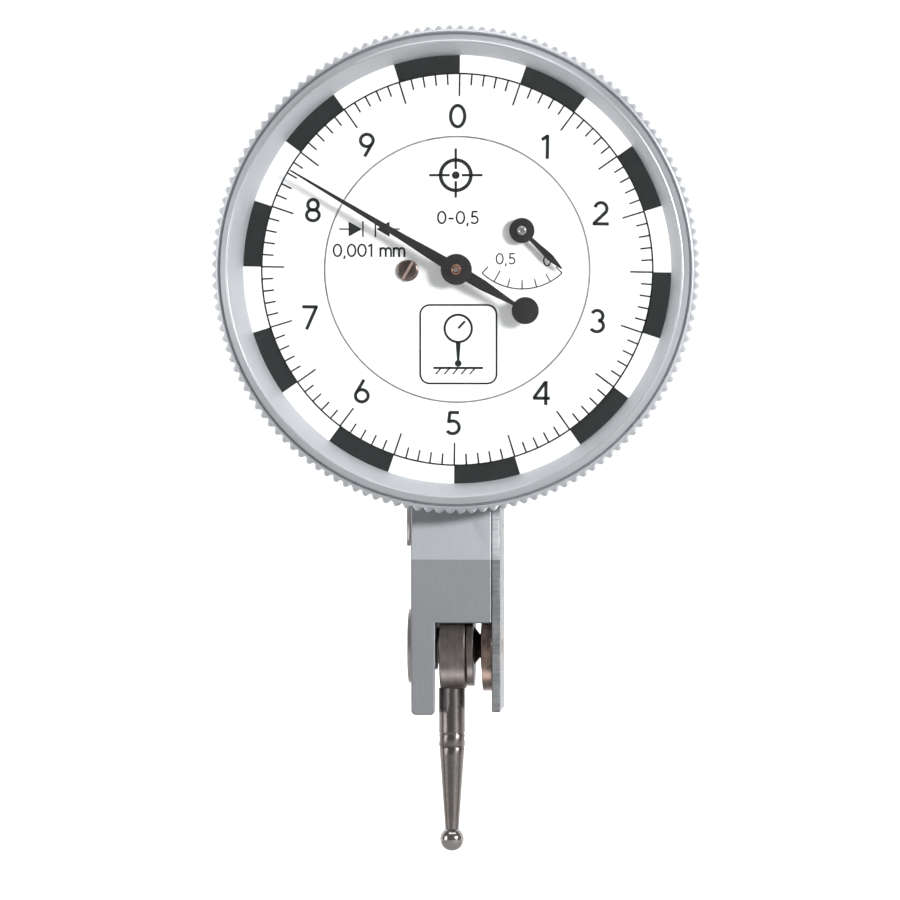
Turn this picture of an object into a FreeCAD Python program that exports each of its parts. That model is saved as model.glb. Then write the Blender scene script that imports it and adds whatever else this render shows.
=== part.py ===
import FreeCAD, Part
import math
import os
import re
import Sketcher

# Lever-type dial test indicator with a small revolution counter.
#
# The origin is the centre of the rear dovetail's land, on the axis of the dial. X points right,
# Z points up and the dial faces -Y. A "height" is a distance from the rear land towards the
# dial, so a point at height h lies at y = -h. All sizes are in millimetres.

SIZES = {
    # main block, its fork and its hollow
    "block_left": -4.05, "block_right": 2.65, "block_back": 1.6, "block_front": 9.6,
    "block_top": 14.0, "block_low": -37.0, "prong_round": 0.4,
    "slot_left": -2.03, "slot_top": -29.35, "relief_top": -33.0, "relief_wide": 0.62,
    "facet_top": -24.05, "facet_deep": 0.45,
    "hollow_left": -2.6, "hollow_back": 2.4, "hollow_front": 8.8, "hollow_top": 8.0,
    "boss_low": -22.5, "boss_top": -20.5, "boss_front": 7.4, "boss_back": 3.9,
    "window_left": 0.2, "window_low": -0.5, "window_top": 6.9,
    # dovetails
    "dove_land": 6.0, "dove_neck": 4.15, "dove_low": -20.0, "dove_high": 1.6,
    # side plate and left cover
    "plate_thick": 0.7, "plate_low": -36.75,
    "cover_thick": 0.37, "cover_low": -22.95, "cover_top": 12.5,
    "cover_front": 9.2, "cover_back": 2.0,
    # screws
    "screw_head": 0.8, "screw_shank": 0.4, "screw_sink": 0.3, "screw_deep": 2.2,
    "slot_wide": 0.22, "slot_deep": 0.14,
    # measuring lever
    "pivot_height": 5.6, "pivot_level": -31.4, "lever_length": 16.15,
    "journal_rad": 0.6, "journal_bore": 0.65, "spindle_rad": 0.85, "hub_bore": 0.9,
    "collar_rad": 1.3, "bush_rad": 2.0, "left_disc_rad": 3.1, "left_disc_thick": 0.37,
    "nose_rad": 1.5, "nose_long": 0.18, "bush_disc_rad": 3.75, "bush_disc_left": 1.79,
    "bush_flange_left": 1.64, "bush_flange_rad": 2.0,
    "hub_rad": 3.7, "hub_left": -1.75, "hub_right": 0.4, "hub_flat": 3.5,
    "washer_left": 0.42, "washer_rad": 2.2,
    "carrier_left": 0.5, "carrier_right": 1.05, "carrier_rad": 3.36,
    "tail_root": 1.3, "tail_end": 0.75, "tail_past": 0.9, "pin_slack": 0.04,
    "nut_right": 1.6, "nut_wide": 1.6, "nut_slim": 1.0,
    # stylus
    "ball_rad": 1.0, "stem_axis": -0.84, "stem_rad": 1.09, "stem_seat": 1.05, "tip_rad": 0.565,
    "seam_level": -39.87, "stem_groove": -38.7, "stem_hole_level": -39.15, "stem_hole_rad": 0.36,
    "stud_rad": 0.55, "stud_long": 1.4,
    # sector and crown gearing
    "sector_mod": 0.15, "sector_teeth": 96, "leaf_teeth": 12,
    "sector_left": -1.25, "sector_right": -0.75, "sector_hub": 1.2, "sector_arm": 0.7,
    "sector_span": 26.25, "sector_fore": 5.625, "sector_gaps": 8,
    "pin_rad": 0.3, "pin_right": 1.2,
    "train_mod": 0.12, "crown_teeth": 48, "crown_rad": 3.1, "crown_inner": 2.5,
    "crown_web": 0.55, "axle_rad": 0.45, "pivot_rad": 0.25, "jewel_bore": 0.28, "jewel_rad": 0.8,
    "jewel_thick": 0.5,
    # wheel train behind the dial
    "pinion_teeth": 10, "wheel_teeth": 50, "counter_x": 5.36, "counter_z": 3.2,
    "first_wheel": 10.7, "counter_wheel": 11.55, "wheel_thick": 0.3, "train_shaft": 0.35,
    "crown_pinion_low": 7.9, "crown_pinion_high": 9.1,
    "spring_low": 12.12, "spring_high": 12.3, "spring_strip": 0.05, "spring_first": 0.62,
    "spring_pitch": 0.3, "spring_halves": 11, "collet_rad": 0.55,
    # dial case, bridge and fixed dial
    "floor_height": 9.6, "floor_thick": 0.8, "case_flange": 18.4, "case_shoulder": 11.35,
    "spigot_rad": 17.84, "spigot_high": 13.35, "case_inner": 16.6,
    "snap_low": 11.95, "snap_high": 12.65, "snap_root": 17.35, "snap_roof": 18.1,
    "snap_wire": 0.3, "snap_rad": 17.7,
    "bridge_low": 12.7, "bridge_high": 13.4, "bridge_rad": 10.5,
    "pillar_rad": 0.8, "pillar_spigot": 0.4,
    "dial_back": 13.4, "dial_face": 13.8, "dial_rad": 10.9,
    "dial_hole": 0.8, "dial_screw_x": -4.04, "dial_screw_z": -0.09, "dial_screw_rad": 0.88,
    "dial_screw_high": 0.34,
    # bezel, its crystal and its dial ring
    "ring_inner": 10.98, "ring_outer": 17.9, "bezel_back": 11.4, "bezel_front": 18.4,
    "bezel_tip": 20.0, "bezel_root": 19.5, "bezel_teeth": 140, "bezel_step": 19.42,
    "knurl_low": 12.6, "knurl_high": 17.15, "slope_low": 17.6, "slope_high": 18.5,
    "slope_top": 18.3, "glass_low": 16.9, "glass_high": 17.7,
    # pointers
    "pointer_low": 14.9, "pointer_high": 15.05, "pointer_long": 15.9, "pointer_hub": 1.28,
    "pointer_root": 0.41, "pointer_tip": 0.062, "pointer_tail": 6.6, "tail_disc": 1.12,
    "boss_rad": 0.45, "boss_bottom": 14.15, "boss_high": 15.4, "spike_rad": 0.22,
    "pointer_angle": 59.2,
    "hand_low": 14.3, "hand_high": 14.42, "hand_long": 4.55, "hand_hub": 1.04, "hand_angle": -133.7,
    "hand_boss": 0.41, "hand_boss_low": 14.0, "hand_boss_high": 14.62,
}

# Where the train's axes lie. The counter's axis is measured; the intermediate axis lies one
# centre distance from both it and the pointer's axis.
TRAIN = "(train_mod*(pinion_teeth+wheel_teeth)/2)"
APART = "sqrt(counter_x^2+counter_z^2)"
RISE = f"sqrt({TRAIN}^2-{APART}^2/4)"
MIDDLE_X = f"(counter_x/2-{RISE}*counter_z/{APART})"
MIDDLE_Z = f"(counter_z/2+{RISE}*counter_x/{APART})"
CENTRE = ("0", "0")
MIDDLE = (MIDDLE_X, MIDDLE_Z)
COUNTER = ("counter_x", "counter_z")

# The crown arbor crosses the intermediate axis; the sector meshes with the leaf pinion below it.
CROWN = ("pivot_height", MIDDLE_Z)
SECTOR_Z = f"({MIDDLE_Z}-sector_mod*(sector_teeth+leaf_teeth)/2)"
SECTOR = ("pivot_height", SECTOR_Z)
PIVOT = ("pivot_height", "pivot_level")

# One turn of the pointer is 0.1 mm at the ball. The train from the sector to the pointer
# multiplies by 192, so the lever's tail and the sector's short arm share out the rest.
GAIN = "(2*pi*lever_length/0.1/(crown_teeth*wheel_teeth/pinion_teeth^2*sector_teeth/leaf_teeth))"
SHORT_ARM = f"(({SECTOR_Z}-pivot_level)/(1+{GAIN}))"
BALL_Z = "(pivot_level-lever_length)"
TIP_STEP = "sqrt(ball_rad^2-tip_rad^2)"

TURNS = {
    "side": FreeCAD.Rotation(FreeCAD.Vector(0, 1, 0), 90),
    "front": FreeCAD.Rotation(FreeCAD.Vector(1, 0, 0), 90),
    "up": FreeCAD.Rotation(),
}

doc = FreeCAD.newDocument("DialTestIndicator")
sheet = doc.addObject("Spreadsheet::Sheet", "Sizes")
for row, (alias, value) in enumerate(SIZES.items(), start=1):
    sheet.set(f"A{row}", str(value))
    sheet.setAlias(f"A{row}", alias)
doc.recompute()

NODES = []


def bound(expression):
    """Point every alias in an expression at its cell."""
    return re.sub(r"\b([a-z]+(?:_[a-z]+)+)\b", r"Sizes.\1", expression)


def place(item, axis, at, start="0", turn=0.0):
    """Lay an item's own Z along an axis of the object, starting at `start` along it."""
    first, second = at
    base = {
        "side": (start, f"-({first})", second),
        "front": (first, f"-({start})", second),
        "up": (first, f"-({second})", start),
    }[axis]
    spin = FreeCAD.Rotation(FreeCAD.Vector(0, 0, 1), turn)
    item.Placement = FreeCAD.Placement(FreeCAD.Vector(), TURNS[axis] * spin)
    for name, expression in zip("xyz", base):
        item.setExpression(f"Placement.Base.{name}", bound(expression))
    return item


def node(item, label):
    """Name a finished sub-part and put it on the export list."""
    item.Label = label
    NODES.append(item)
    return item


def box(span_x, span_height, span_z):
    """A box between two x, two heights and two z."""
    item = doc.addObject("Part::Box", "Block")
    for side, (low, high) in zip(("Length", "Width", "Height"), (span_x, span_height, span_z)):
        item.setExpression(side, bound(f"({high})-({low})"))
    item.setExpression("Placement.Base.x", bound(span_x[0]))
    item.setExpression("Placement.Base.y", bound(f"-({span_height[1]})"))
    item.setExpression("Placement.Base.z", bound(span_z[0]))
    return item


def rod(radius, axis, span, at):
    """A cylinder along an axis between two stations."""
    item = doc.addObject("Part::Cylinder", "Rod")
    item.setExpression("Radius", bound(radius))
    item.setExpression("Height", bound(f"({span[1]})-({span[0]})"))
    return place(item, axis, at, start=span[0])


def fuse(*items):
    """One shape out of several, or the shape itself."""
    if len(items) == 1:
        return items[0]
    item = doc.addObject("Part::MultiFuse", "Union")
    item.Shapes = list(items)
    return item


def cut(base, *tools):
    """A shape less all the tools."""
    item = doc.addObject("Part::Cut", "Cut")
    item.Base = base
    item.Tool = fuse(*tools)
    return item


class Piece:
    """A PartDesign body whose own Z lies along one of the object's axes."""

    def __init__(self, label, axis, at=CENTRE, turn=0.0, kept=True):
        self.body = doc.addObject("PartDesign::Body", label.title().replace("_", ""))
        place(self.body, axis, at, turn=turn)
        self.last = None
        if kept:
            node(self.body, label)

    def origin(self, role):
        return [item for item in self.body.Origin.OriginFeatures if item.Role == role][0]

    def outline(self, shape, plane="XY_Plane", lift="0"):
        """A sketch of a closed polygon, or of a circle given as (radius, x, y)."""
        sketch = self.body.newObject("Sketcher::SketchObject", "Outline")
        sketch.AttachmentSupport = [(self.origin(plane), "")]
        sketch.MapMode = "FlatFace"
        sketch.setExpression("AttachmentOffset.Base.z", bound(lift))
        if isinstance(shape, tuple):
            radius, x, y = shape
            up = FreeCAD.Vector(0, 0, 1)
            sketch.addGeometry(Part.Circle(FreeCAD.Vector(1, 1, 0), up, 1), False)
            self.fix(sketch, Sketcher.Constraint("Radius", 0, 1.0), radius)
            self.fix(sketch, Sketcher.Constraint("DistanceX", -1, 1, 0, 3, 1.0), x)
            self.fix(sketch, Sketcher.Constraint("DistanceY", -1, 1, 0, 3, 1.0), y)
            return sketch
        count = len(shape)
        rough = [2 * math.pi * index / count for index in range(count)]
        rough = [FreeCAD.Vector(9 + math.cos(angle), math.sin(angle), 0) for angle in rough]
        for index in range(count):
            line = Part.LineSegment(rough[index], rough[(index + 1) % count])
            sketch.addGeometry(line, False)
        for index in range(count):
            after = (index + 1) % count
            sketch.addConstraint(Sketcher.Constraint("Coincident", index, 2, after, 1))
        for index, (x, y) in enumerate(shape):
            start = rough[index]
            self.fix(sketch, Sketcher.Constraint("DistanceX", -1, 1, index, 1, start.x), x)
            self.fix(sketch, Sketcher.Constraint("DistanceY", -1, 1, index, 1, start.y), y)
        return sketch

    @staticmethod
    def fix(sketch, constraint, expression):
        number = sketch.addConstraint(constraint)
        sketch.setExpression(f"Constraints[{number}]", bound(expression))

    def turned(self, corners):
        """A solid of revolution; each corner is (radius, station along the axis)."""
        sketch = self.outline(corners, "XZ_Plane")
        self.last = self.body.newObject("PartDesign::Revolution", "Turned")
        self.last.Profile = sketch
        self.last.ReferenceAxis = (sketch, ["V_Axis"])
        self.last.Angle = 360
        return self

    def plate(self, shape, low, high):
        """A flat pad of an outline between two stations."""
        sketch = self.outline(shape, lift=low)
        self.last = self.body.newObject("PartDesign::Pad", "Plate")
        self.last.Profile = sketch
        self.last.setExpression("Length", bound(f"({high})-({low})"))
        return self

    def opening(self, shape, plane="XY_Plane"):
        """An outline cut right through, both ways from its plane."""
        doc.recompute()
        before = self.body.Shape.Volume
        sketch = self.outline(shape, plane)
        self.last = self.body.newObject("PartDesign::Pocket", "Opening")
        self.last.Profile = sketch
        self.last.Type = "ThroughAll"
        self.last.Midplane = True
        doc.recompute()
        if self.body.Shape.Volume > before - 1e-6:
            raise RuntimeError(f"{self.body.Label}: an opening removes nothing")
        return self

    def around(self, count, angle="360"):
        """Repeat the last feature about the axis."""
        pattern = self.body.newObject("PartDesign::PolarPattern", "Around")
        pattern.Originals = [self.last]
        pattern.Axis = (self.origin("Z_Axis"), [""])
        pattern.setExpression("Angle", bound(angle))
        pattern.setExpression("Occurrences", bound(count))
        self.body.Tip = pattern
        return self

    def toothed(self, teeth, module):
        """Cut straight-flanked tooth gaps, the first of them on the piece's own X axis."""
        self.opening(gap_outline(teeth, module, "0"))
        return self.around(teeth)


def polar(radius, angle, aside="0"):
    """Corner at a radius and angle, shifted aside at right angles to the radius."""
    x = f"({radius})*cos({angle})-({aside})*sin({angle})"
    y = f"({radius})*sin({angle})+({aside})*cos({angle})"
    return x, y


def gap_outline(teeth, module, angle):
    """The space between two teeth, centred on a direction."""
    root = f"({module})*(({teeth})/2-1.15)"
    past = f"({module})*(({teeth})/2+1.0)"
    return [
        polar(root, angle, f"-0.46*({module})"),
        polar(past, angle, f"-1.244*({module})"),
        polar(past, angle, f"1.244*({module})"),
        polar(root, angle, f"0.46*({module})"),
    ]


def tip_radius(teeth, module):
    return f"({module})*(({teeth})/2+0.9)"


def value(expression):
    """The number that an expression of the sheet's cells comes to."""
    probe = doc.getObject("Probe") or doc.addObject("App::FeaturePython", "Probe")
    if "Number" not in probe.PropertiesList:
        probe.addProperty("App::PropertyFloat", "Number")
    probe.setExpression("Number", bound(expression))
    doc.recompute()
    return probe.Number


def screw(axis, at, face, into, turn=0.0):
    """A slotted countersunk screw, its head flush with a face and its shank `into` the metal."""
    sign = 1 if into > 0 else -1
    flush = f"({face})"
    neck = f"({face})+{sign}*screw_sink"
    end = f"({face})+{sign}*screw_deep"
    name = "screw"
    piece = Piece(name, axis, at, turn=turn, kept=False)
    corners = [("0", flush), ("screw_head", flush), ("screw_shank", neck), ("screw_shank", end)]
    piece.turned(corners + [("0", end)])
    kerf = f"({face})+{sign}*slot_deep"
    far = f"({face})-{sign}*slot_deep"
    slot = [("-slot_wide/2", far), ("slot_wide/2", far), ("slot_wide/2", kerf)]
    piece.opening(slot + [("-slot_wide/2", kerf)], "XZ_Plane")
    return piece.body


def screw_seat(axis, at, face, into):
    """The countersink and hole that a screw fills."""
    sign = 1 if into > 0 else -1
    piece = Piece("seat", axis, at, kept=False)
    neck = f"({face})+{sign}*screw_sink"
    end = f"({face})+{sign}*screw_deep"
    corners = [("0", f"({face})"), ("screw_head", f"({face})"), ("screw_shank", neck)]
    piece.turned(corners + [("screw_shank", end), ("0", end)])
    return piece.body


def ring_piece(label, axis, at, inner, outer, low, high, turn=0.0, kept=True):
    """A plain ring or washer."""
    corners = [(inner, low), (outer, low), (outer, high), (inner, high)]
    return Piece(label, axis, at, turn=turn, kept=kept).turned(corners)


# --------------------------------------------------------------------------- main block

PLATE_RIGHT = "(block_right+plate_thick)"
COVER_LEFT = "(block_left-cover_thick)"
PLATE_SPOTS = [("7.2", "11"), ("3.6", "11"), ("8.1", "-21.5"), ("3.15", "-21.5")]
COVER_SPOTS = [("7.2", "10.6"), ("3.8", "10.6"), ("5.6", "-21.2")]
CASE_SPOTS = [("-1.9", "11"), ("1.4", "11"), ("-3.25", "-13")]

block = box(("block_left", "block_right"), ("block_back", "block_front"),
            ("block_low", "block_top"))
bosses = [
    box(("hollow_left", "block_right"), ("boss_front", "hollow_front"), ("boss_low", "boss_top")),
    box(("hollow_left", "block_right"), ("hollow_back", "boss_back"), ("boss_low", "boss_top")),
]
hollow = cut(
    box(("hollow_left", "block_right"), ("hollow_back", "hollow_front"),
        ("slot_top", "hollow_top")),
    *bosses)
fork = box(("slot_left", "block_right"), ("0", "block_front+1"), ("block_low-1", "slot_top"))
window = box(("window_left", "block_right"), ("hollow_front-0.1", "block_front+1"),
             ("window_low", "window_top"))

# The relief behind the left prong's inner edge is a wedge, widest at the rear.
relief = Piece("relief", "up", CENTRE, kept=False)
relief.plate([("slot_left", "-block_front"), ("slot_left+0.01", "-block_front"),
              ("slot_left+0.01", "-block_back+1"), ("slot_left-relief_wide", "-block_back+1"),
              ("slot_left-relief_wide", "-block_back")], "block_low-1", "relief_top")

# The front of the block and of its plate slopes back a little from here down to the fork's tips.
facet = Piece("facet", "side", CENTRE, kept=False)
facet.plate([("-facet_top", "-block_front"), ("-block_low", "-block_front+facet_deep"),
             ("-block_low+1", "-block_front+facet_deep"), ("-block_low+1", "-block_front-1"),
             ("-facet_top", "-block_front-1")], "block_left-1", f"{PLATE_RIGHT}+1")

rear_dove = Piece("rear_dovetail", "up", CENTRE, kept=False)
rear_dove.plate([("-dove_neck/2", "-block_back"), ("dove_neck/2", "-block_back"),
                 ("dove_land/2", "0"), ("-dove_land/2", "0")], "dove_low", "block_top")
top_dove = Piece("top_dovetail", "front", CENTRE, kept=False)
top_dove.plate([("-dove_neck/2", "block_top"), ("dove_neck/2", "block_top"),
                ("dove_land/2", "block_top+dove_high"),
                ("-dove_land/2", "block_top+dove_high")], "block_back", "block_front")
top_dove = cut(top_dove.body, box(("block_right", "dove_land"), ("0", "block_front+1"),
                                  ("block_top-1", "block_top")))

left_hole = rod("bush_rad", "side", ("block_left-1", "slot_left+0.1"), PIVOT)
left_jewels = [rod("jewel_rad", "side", ("hollow_left-jewel_thick", "hollow_left+0.1"), at)
               for at in (CROWN, SECTOR)]
plate_seats = [screw_seat("side", at, PLATE_RIGHT, -1) for at in PLATE_SPOTS]
cover_seats = [screw_seat("side", at, COVER_LEFT, 1) for at in COVER_SPOTS]
case_seats = [screw_seat("front", at, "floor_height+floor_thick", -1) for at in CASE_SPOTS]

block_cut = cut(fuse(block, rear_dove.body, top_dove), hollow, fork, relief.body, facet.body,
                window, left_hole, *left_jewels)
block_done = cut(block_cut, *plate_seats, *cover_seats, *case_seats)
doc.recompute()


def upright_edges(shape, x_limit, z_limit):
    """Numbers of the bottom edges of the left prong that run from front to back."""
    found = []
    for number, edge in enumerate(shape.Edges, start=1):
        low, high = edge.BoundBox, edge.BoundBox
        flat = edge.Length > 6 and high.YLength > 6 and high.XLength < 0.7
        if flat and low.ZMax < z_limit and low.XMax < x_limit:
            found.append(number)
    return found


rounded = doc.addObject("Part::Fillet", "Rounded")
rounded.Base = block_done
radius = value("prong_round")
corner_edges = upright_edges(block_done.Shape, value("slot_left") + 0.5, value("block_low") + 0.1)
rounded.Edges = [(number, radius, radius) for number in corner_edges]
node(rounded, "body_block")

plate_right_hole = rod("bush_rad", "side", ("block_right-0.1", "block_right+2"), PIVOT)
plate_jewels = [rod("jewel_rad", "side", ("block_right-0.1", "block_right+jewel_thick"), at)
                for at in (CROWN, SECTOR)]
node(cut(box(("block_right", PLATE_RIGHT), ("block_back", "block_front"),
             ("plate_low", "block_top")),
         facet.body, plate_right_hole, *plate_jewels, *plate_seats), "side_plate")
node(fuse(*[screw("side", at, PLATE_RIGHT, -1, turn=20.0 + 50 * index)
            for index, at in enumerate(PLATE_SPOTS)]), "side_plate_screws")

cover = Piece("cover", "side", CENTRE, kept=False)
cover.plate([("-cover_top", "-cover_front"), ("-cover_top", "-cover_back"),
             ("-cover_low-0.5", "-cover_back"), ("-cover_low", "-cover_back-0.5"),
             ("-cover_low", "-cover_front+0.5"), ("-cover_low-0.5", "-cover_front")],
            COVER_LEFT, "block_left")
node(cut(cover.body, *cover_seats), "left_cover")
node(fuse(*[screw("side", at, COVER_LEFT, 1, turn=35.0 + 65 * index)
            for index, at in enumerate(COVER_SPOTS)]), "left_cover_screws")

# --------------------------------------------------------------------------- fork bearings

Piece("left_pivot_bush", "side", PIVOT).turned([
    ("0", "block_left-left_disc_thick"), ("left_disc_rad", "block_left-left_disc_thick"),
    ("left_disc_rad", "block_left"), ("bush_rad", "block_left"), ("bush_rad", "slot_left"),
    ("nose_rad", "slot_left"), ("nose_rad", "slot_left+nose_long"),
    ("journal_bore", "slot_left+nose_long"), ("journal_bore", "block_left+0.1"),
    ("0", "block_left+0.1")])
Piece("right_pivot_bush", "side", PIVOT).turned([
    ("journal_bore", "bush_flange_left"), ("bush_flange_rad", "bush_flange_left"),
    ("bush_flange_rad", "bush_disc_left"), ("bush_disc_rad", "bush_disc_left"),
    ("bush_disc_rad", "block_right"), ("bush_rad", "block_right"), ("bush_rad", PLATE_RIGHT),
    ("journal_bore", PLATE_RIGHT)])

# --------------------------------------------------------------------------- lever and stylus

Piece("lever_arbor", "side", PIVOT).turned([
    ("0", "block_left+0.2"), ("journal_rad", "block_left+0.2"), ("journal_rad", "hub_left-0.07"),
    ("collar_rad", "hub_left-0.07"), ("collar_rad", "hub_left-0.02"),
    ("spindle_rad", "hub_left-0.02"), ("spindle_rad", "carrier_right"),
    ("journal_rad", "carrier_right"), ("journal_rad", f"{PLATE_RIGHT}-0.15"),
    ("0", f"{PLATE_RIGHT}-0.15")])
TAIL = f"({SECTOR_Z}-{SHORT_ARM}-pivot_level)"
carrier = Piece("lever_carrier", "side", PIVOT)
carrier.plate(("carrier_rad", "0", "0"), "carrier_left", "carrier_right")
carrier.plate([("0", "-tail_root"), ("0", "tail_root"), (f"-{TAIL}-tail_past", "tail_end"),
               (f"-{TAIL}-tail_past", "-tail_end")], "carrier_left", "carrier_right")
carrier.opening(("spindle_rad", "0", "0"))
carrier.opening([(f"-{TAIL}-tail_past-1", "-pin_rad-pin_slack"),
                 (f"-{TAIL}-tail_past-1", "pin_rad+pin_slack"),
                 (f"-{TAIL}+tail_past", "pin_rad+pin_slack"),
                 (f"-{TAIL}+tail_past", "-pin_rad-pin_slack")])
ring_piece("friction_washer", "side", PIVOT, "spindle_rad", "washer_rad",
           "washer_left", "carrier_left")
Piece("clamp_nut", "side", PIVOT).turned([
    ("journal_rad", "carrier_right"), ("nut_wide", "carrier_right"),
    ("nut_slim", "nut_right-0.1"), ("nut_slim", "nut_right"), ("journal_rad", "nut_right")])

hub = ring_piece("stylus_hub", "side", PIVOT, "hub_bore", "hub_rad", "hub_left", "hub_right",
                 kept=False)
hub_flat = box(("hub_left-1", "hub_right+1"), ("0", "block_front+2"),
               ("pivot_level-hub_rad-1", "pivot_level-hub_flat"))
stud_hole = rod("stud_rad", "up", ("pivot_level-hub_rad-1", "pivot_level-hub_flat+stud_long"),
                ("stem_axis", "pivot_height"))
node(cut(hub.body, hub_flat, stud_hole), "stylus_hub")

STEM_TOP = "(pivot_level-hub_flat)"
stem = Piece("stem", "up", ("stem_axis", "pivot_height"), kept=False)
stem.turned([
    ("0", f"{BALL_Z}+{TIP_STEP}"), ("tip_rad", f"{BALL_Z}+{TIP_STEP}"),
    ("stem_seat", "seam_level"), ("stem_seat-0.05", "seam_level+0.02"),
    ("stem_seat-0.05", "seam_level+0.08"), ("stem_rad", "seam_level+0.12"),
    ("stem_rad", "stem_groove-0.08"), ("stem_rad-0.05", "stem_groove-0.04"),
    ("stem_rad-0.05", "stem_groove+0.04"), ("stem_rad", "stem_groove+0.08"),
    ("stem_rad", STEM_TOP), ("stud_rad", STEM_TOP), ("stud_rad", f"{STEM_TOP}+stud_long-0.1"),
    ("0", f"{STEM_TOP}+stud_long-0.1")])
stem_hole = rod("stem_hole_rad", "side", ("-4", "3"), ("pivot_height", "stem_hole_level"))
node(cut(stem.body, stem_hole), "stylus_stem")

ball = doc.addObject("Part::Sphere", "Ball")
ball.setExpression("Radius", bound("ball_rad"))
ball.Angle1 = -90
ball.setExpression("Angle2", bound(f"asin({TIP_STEP}/ball_rad)"))
node(place(ball, "up", ("stem_axis", "pivot_height"), start=BALL_Z), "stylus_ball")

# --------------------------------------------------------------------------- sector

Piece("sector_arbor", "side", SECTOR).turned([
    ("0", "hollow_left-jewel_thick+0.1"), ("pivot_rad", "hollow_left-jewel_thick+0.1"),
    ("pivot_rad", "hollow_left+0.05"), ("axle_rad", "hollow_left+0.05"),
    ("axle_rad", "block_right-0.05"), ("pivot_rad", "block_right-0.05"),
    ("pivot_rad", "block_right+jewel_thick-0.1"), ("0", "block_right+jewel_thick-0.1")])
sector = Piece("sector_gear", "side", SECTOR)
sector.turned([("axle_rad", "sector_left"), (tip_radius("sector_teeth", "sector_mod"),
                                             "sector_left"),
               (tip_radius("sector_teeth", "sector_mod"), "sector_right"),
               ("axle_rad", "sector_right")])
sector.opening([("-0.7*sector_hub", "0.7*sector_hub"), polar("9", "172.5"), ("-9", "12"),
                ("12", "12"), ("12", "sector_arm"), ("0.8*sector_hub", "sector_arm")])
sector.opening([("-0.7*sector_hub", "-0.7*sector_hub"), polar("9", "202.5"), ("-9", "-12"),
                ("12", "-12"), ("12", "sector_arm+0.01"),
                (f"{SHORT_ARM}+sector_arm", "sector_arm+0.01"),
                (f"{SHORT_ARM}+sector_arm", "-sector_arm"), ("0.8*sector_hub", "-sector_arm")])
sector.opening(("pin_rad", SHORT_ARM, "0"))
sector.opening(gap_outline("sector_teeth", "sector_mod", "(180-sector_fore)"))
sector.around("sector_gaps", "sector_span")
node(rod("pin_rad", "side", ("sector_left", "pin_right"),
         ("pivot_height", f"{SECTOR_Z}-{SHORT_ARM}")), "sector_pin")

# --------------------------------------------------------------------------- crown

CROWN_PITCH = f"({MIDDLE_X}-train_mod*pinion_teeth/2)"
crown_arbor = Piece("crown_arbor", "side", CROWN).turned([
    ("0", "hollow_left-jewel_thick+0.1"), ("pivot_rad", "hollow_left-jewel_thick+0.1"),
    ("pivot_rad", "hollow_left+0.05"), ("axle_rad", "hollow_left+0.05"),
    ("axle_rad", "sector_left-0.25"), (tip_radius("leaf_teeth", "sector_mod"),
                                       "sector_left-0.25"),
    (tip_radius("leaf_teeth", "sector_mod"), "sector_right+0.25"),
    ("axle_rad", "sector_right+0.25"), ("axle_rad", "block_right-0.05"),
    ("pivot_rad", "block_right-0.05"), ("pivot_rad", "block_right+jewel_thick-0.1"),
    ("0", "block_right+jewel_thick-0.1")])
crown_arbor.toothed("leaf_teeth", "sector_mod")
crown_gear = Piece("crown_gear", "side", CROWN, turn=-86.25)
crown_gear.turned([
    ("axle_rad", "crown_web-0.25"), ("axle_rad+0.5", "crown_web-0.25"),
    ("axle_rad+0.5", "crown_web"), ("crown_rad", "crown_web"),
    ("crown_rad", f"{CROWN_PITCH}+0.9*train_mod"),
    ("crown_inner", f"{CROWN_PITCH}+0.9*train_mod"),
    ("crown_inner", f"{CROWN_PITCH}-1.3*train_mod"),
    ("axle_rad", f"{CROWN_PITCH}-1.3*train_mod")])
crown_gear.opening([
    ("-0.46*train_mod", f"{CROWN_PITCH}-1.15*train_mod"),
    ("0.46*train_mod", f"{CROWN_PITCH}-1.15*train_mod"),
    ("1.244*train_mod", f"{CROWN_PITCH}+train_mod"),
    ("-1.244*train_mod", f"{CROWN_PITCH}+train_mod")], "YZ_Plane")
crown_gear.around("crown_teeth/2", "180-360/crown_teeth")
node(fuse(*[ring_piece("jewel", "side", at, "jewel_bore", "jewel_rad", low, high,
                       kept=False).body
            for at in (CROWN, SECTOR)
            for low, high in (("hollow_left-jewel_thick", "hollow_left"),
                              ("block_right", "block_right+jewel_thick"))]), "side_jewels")

# --------------------------------------------------------------------------- wheel train

TO_MIDDLE = math.degrees(math.atan2(value(MIDDLE_Z), value(MIDDLE_X)))
TO_COUNTER = math.degrees(math.atan2(value("counter_z") - value(MIDDLE_Z),
                                     value("counter_x") - value(MIDDLE_X)))
HALF_TOOTH = 180.0 / value("wheel_teeth")
PINION_TIP = tip_radius("pinion_teeth", "train_mod")
WHEEL_TIP = tip_radius("wheel_teeth", "train_mod")
JEWEL_TOP = "(bridge_high-0.1)"
JEWEL_FOOT = "(floor_height+0.1)"

centre_arbor = Piece("centre_arbor", "front", CENTRE, turn=TO_MIDDLE).turned([
    ("0", f"{JEWEL_FOOT}+0.05"), ("pivot_rad", f"{JEWEL_FOOT}+0.05"),
    ("pivot_rad", "floor_height+floor_thick-0.05"),
    (PINION_TIP, "floor_height+floor_thick+0.1"), (PINION_TIP, "first_wheel+wheel_thick+0.15"),
    ("train_shaft", "first_wheel+wheel_thick+0.15"), ("train_shaft", "bridge_low+0.05"),
    ("pivot_rad", "bridge_low+0.05"), ("pivot_rad", f"{JEWEL_TOP}+0.1"),
    ("spike_rad", f"{JEWEL_TOP}+0.1"), ("spike_rad", "boss_high-0.1"), ("0", "boss_high-0.1")])
centre_arbor.toothed("pinion_teeth", "train_mod")

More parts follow.
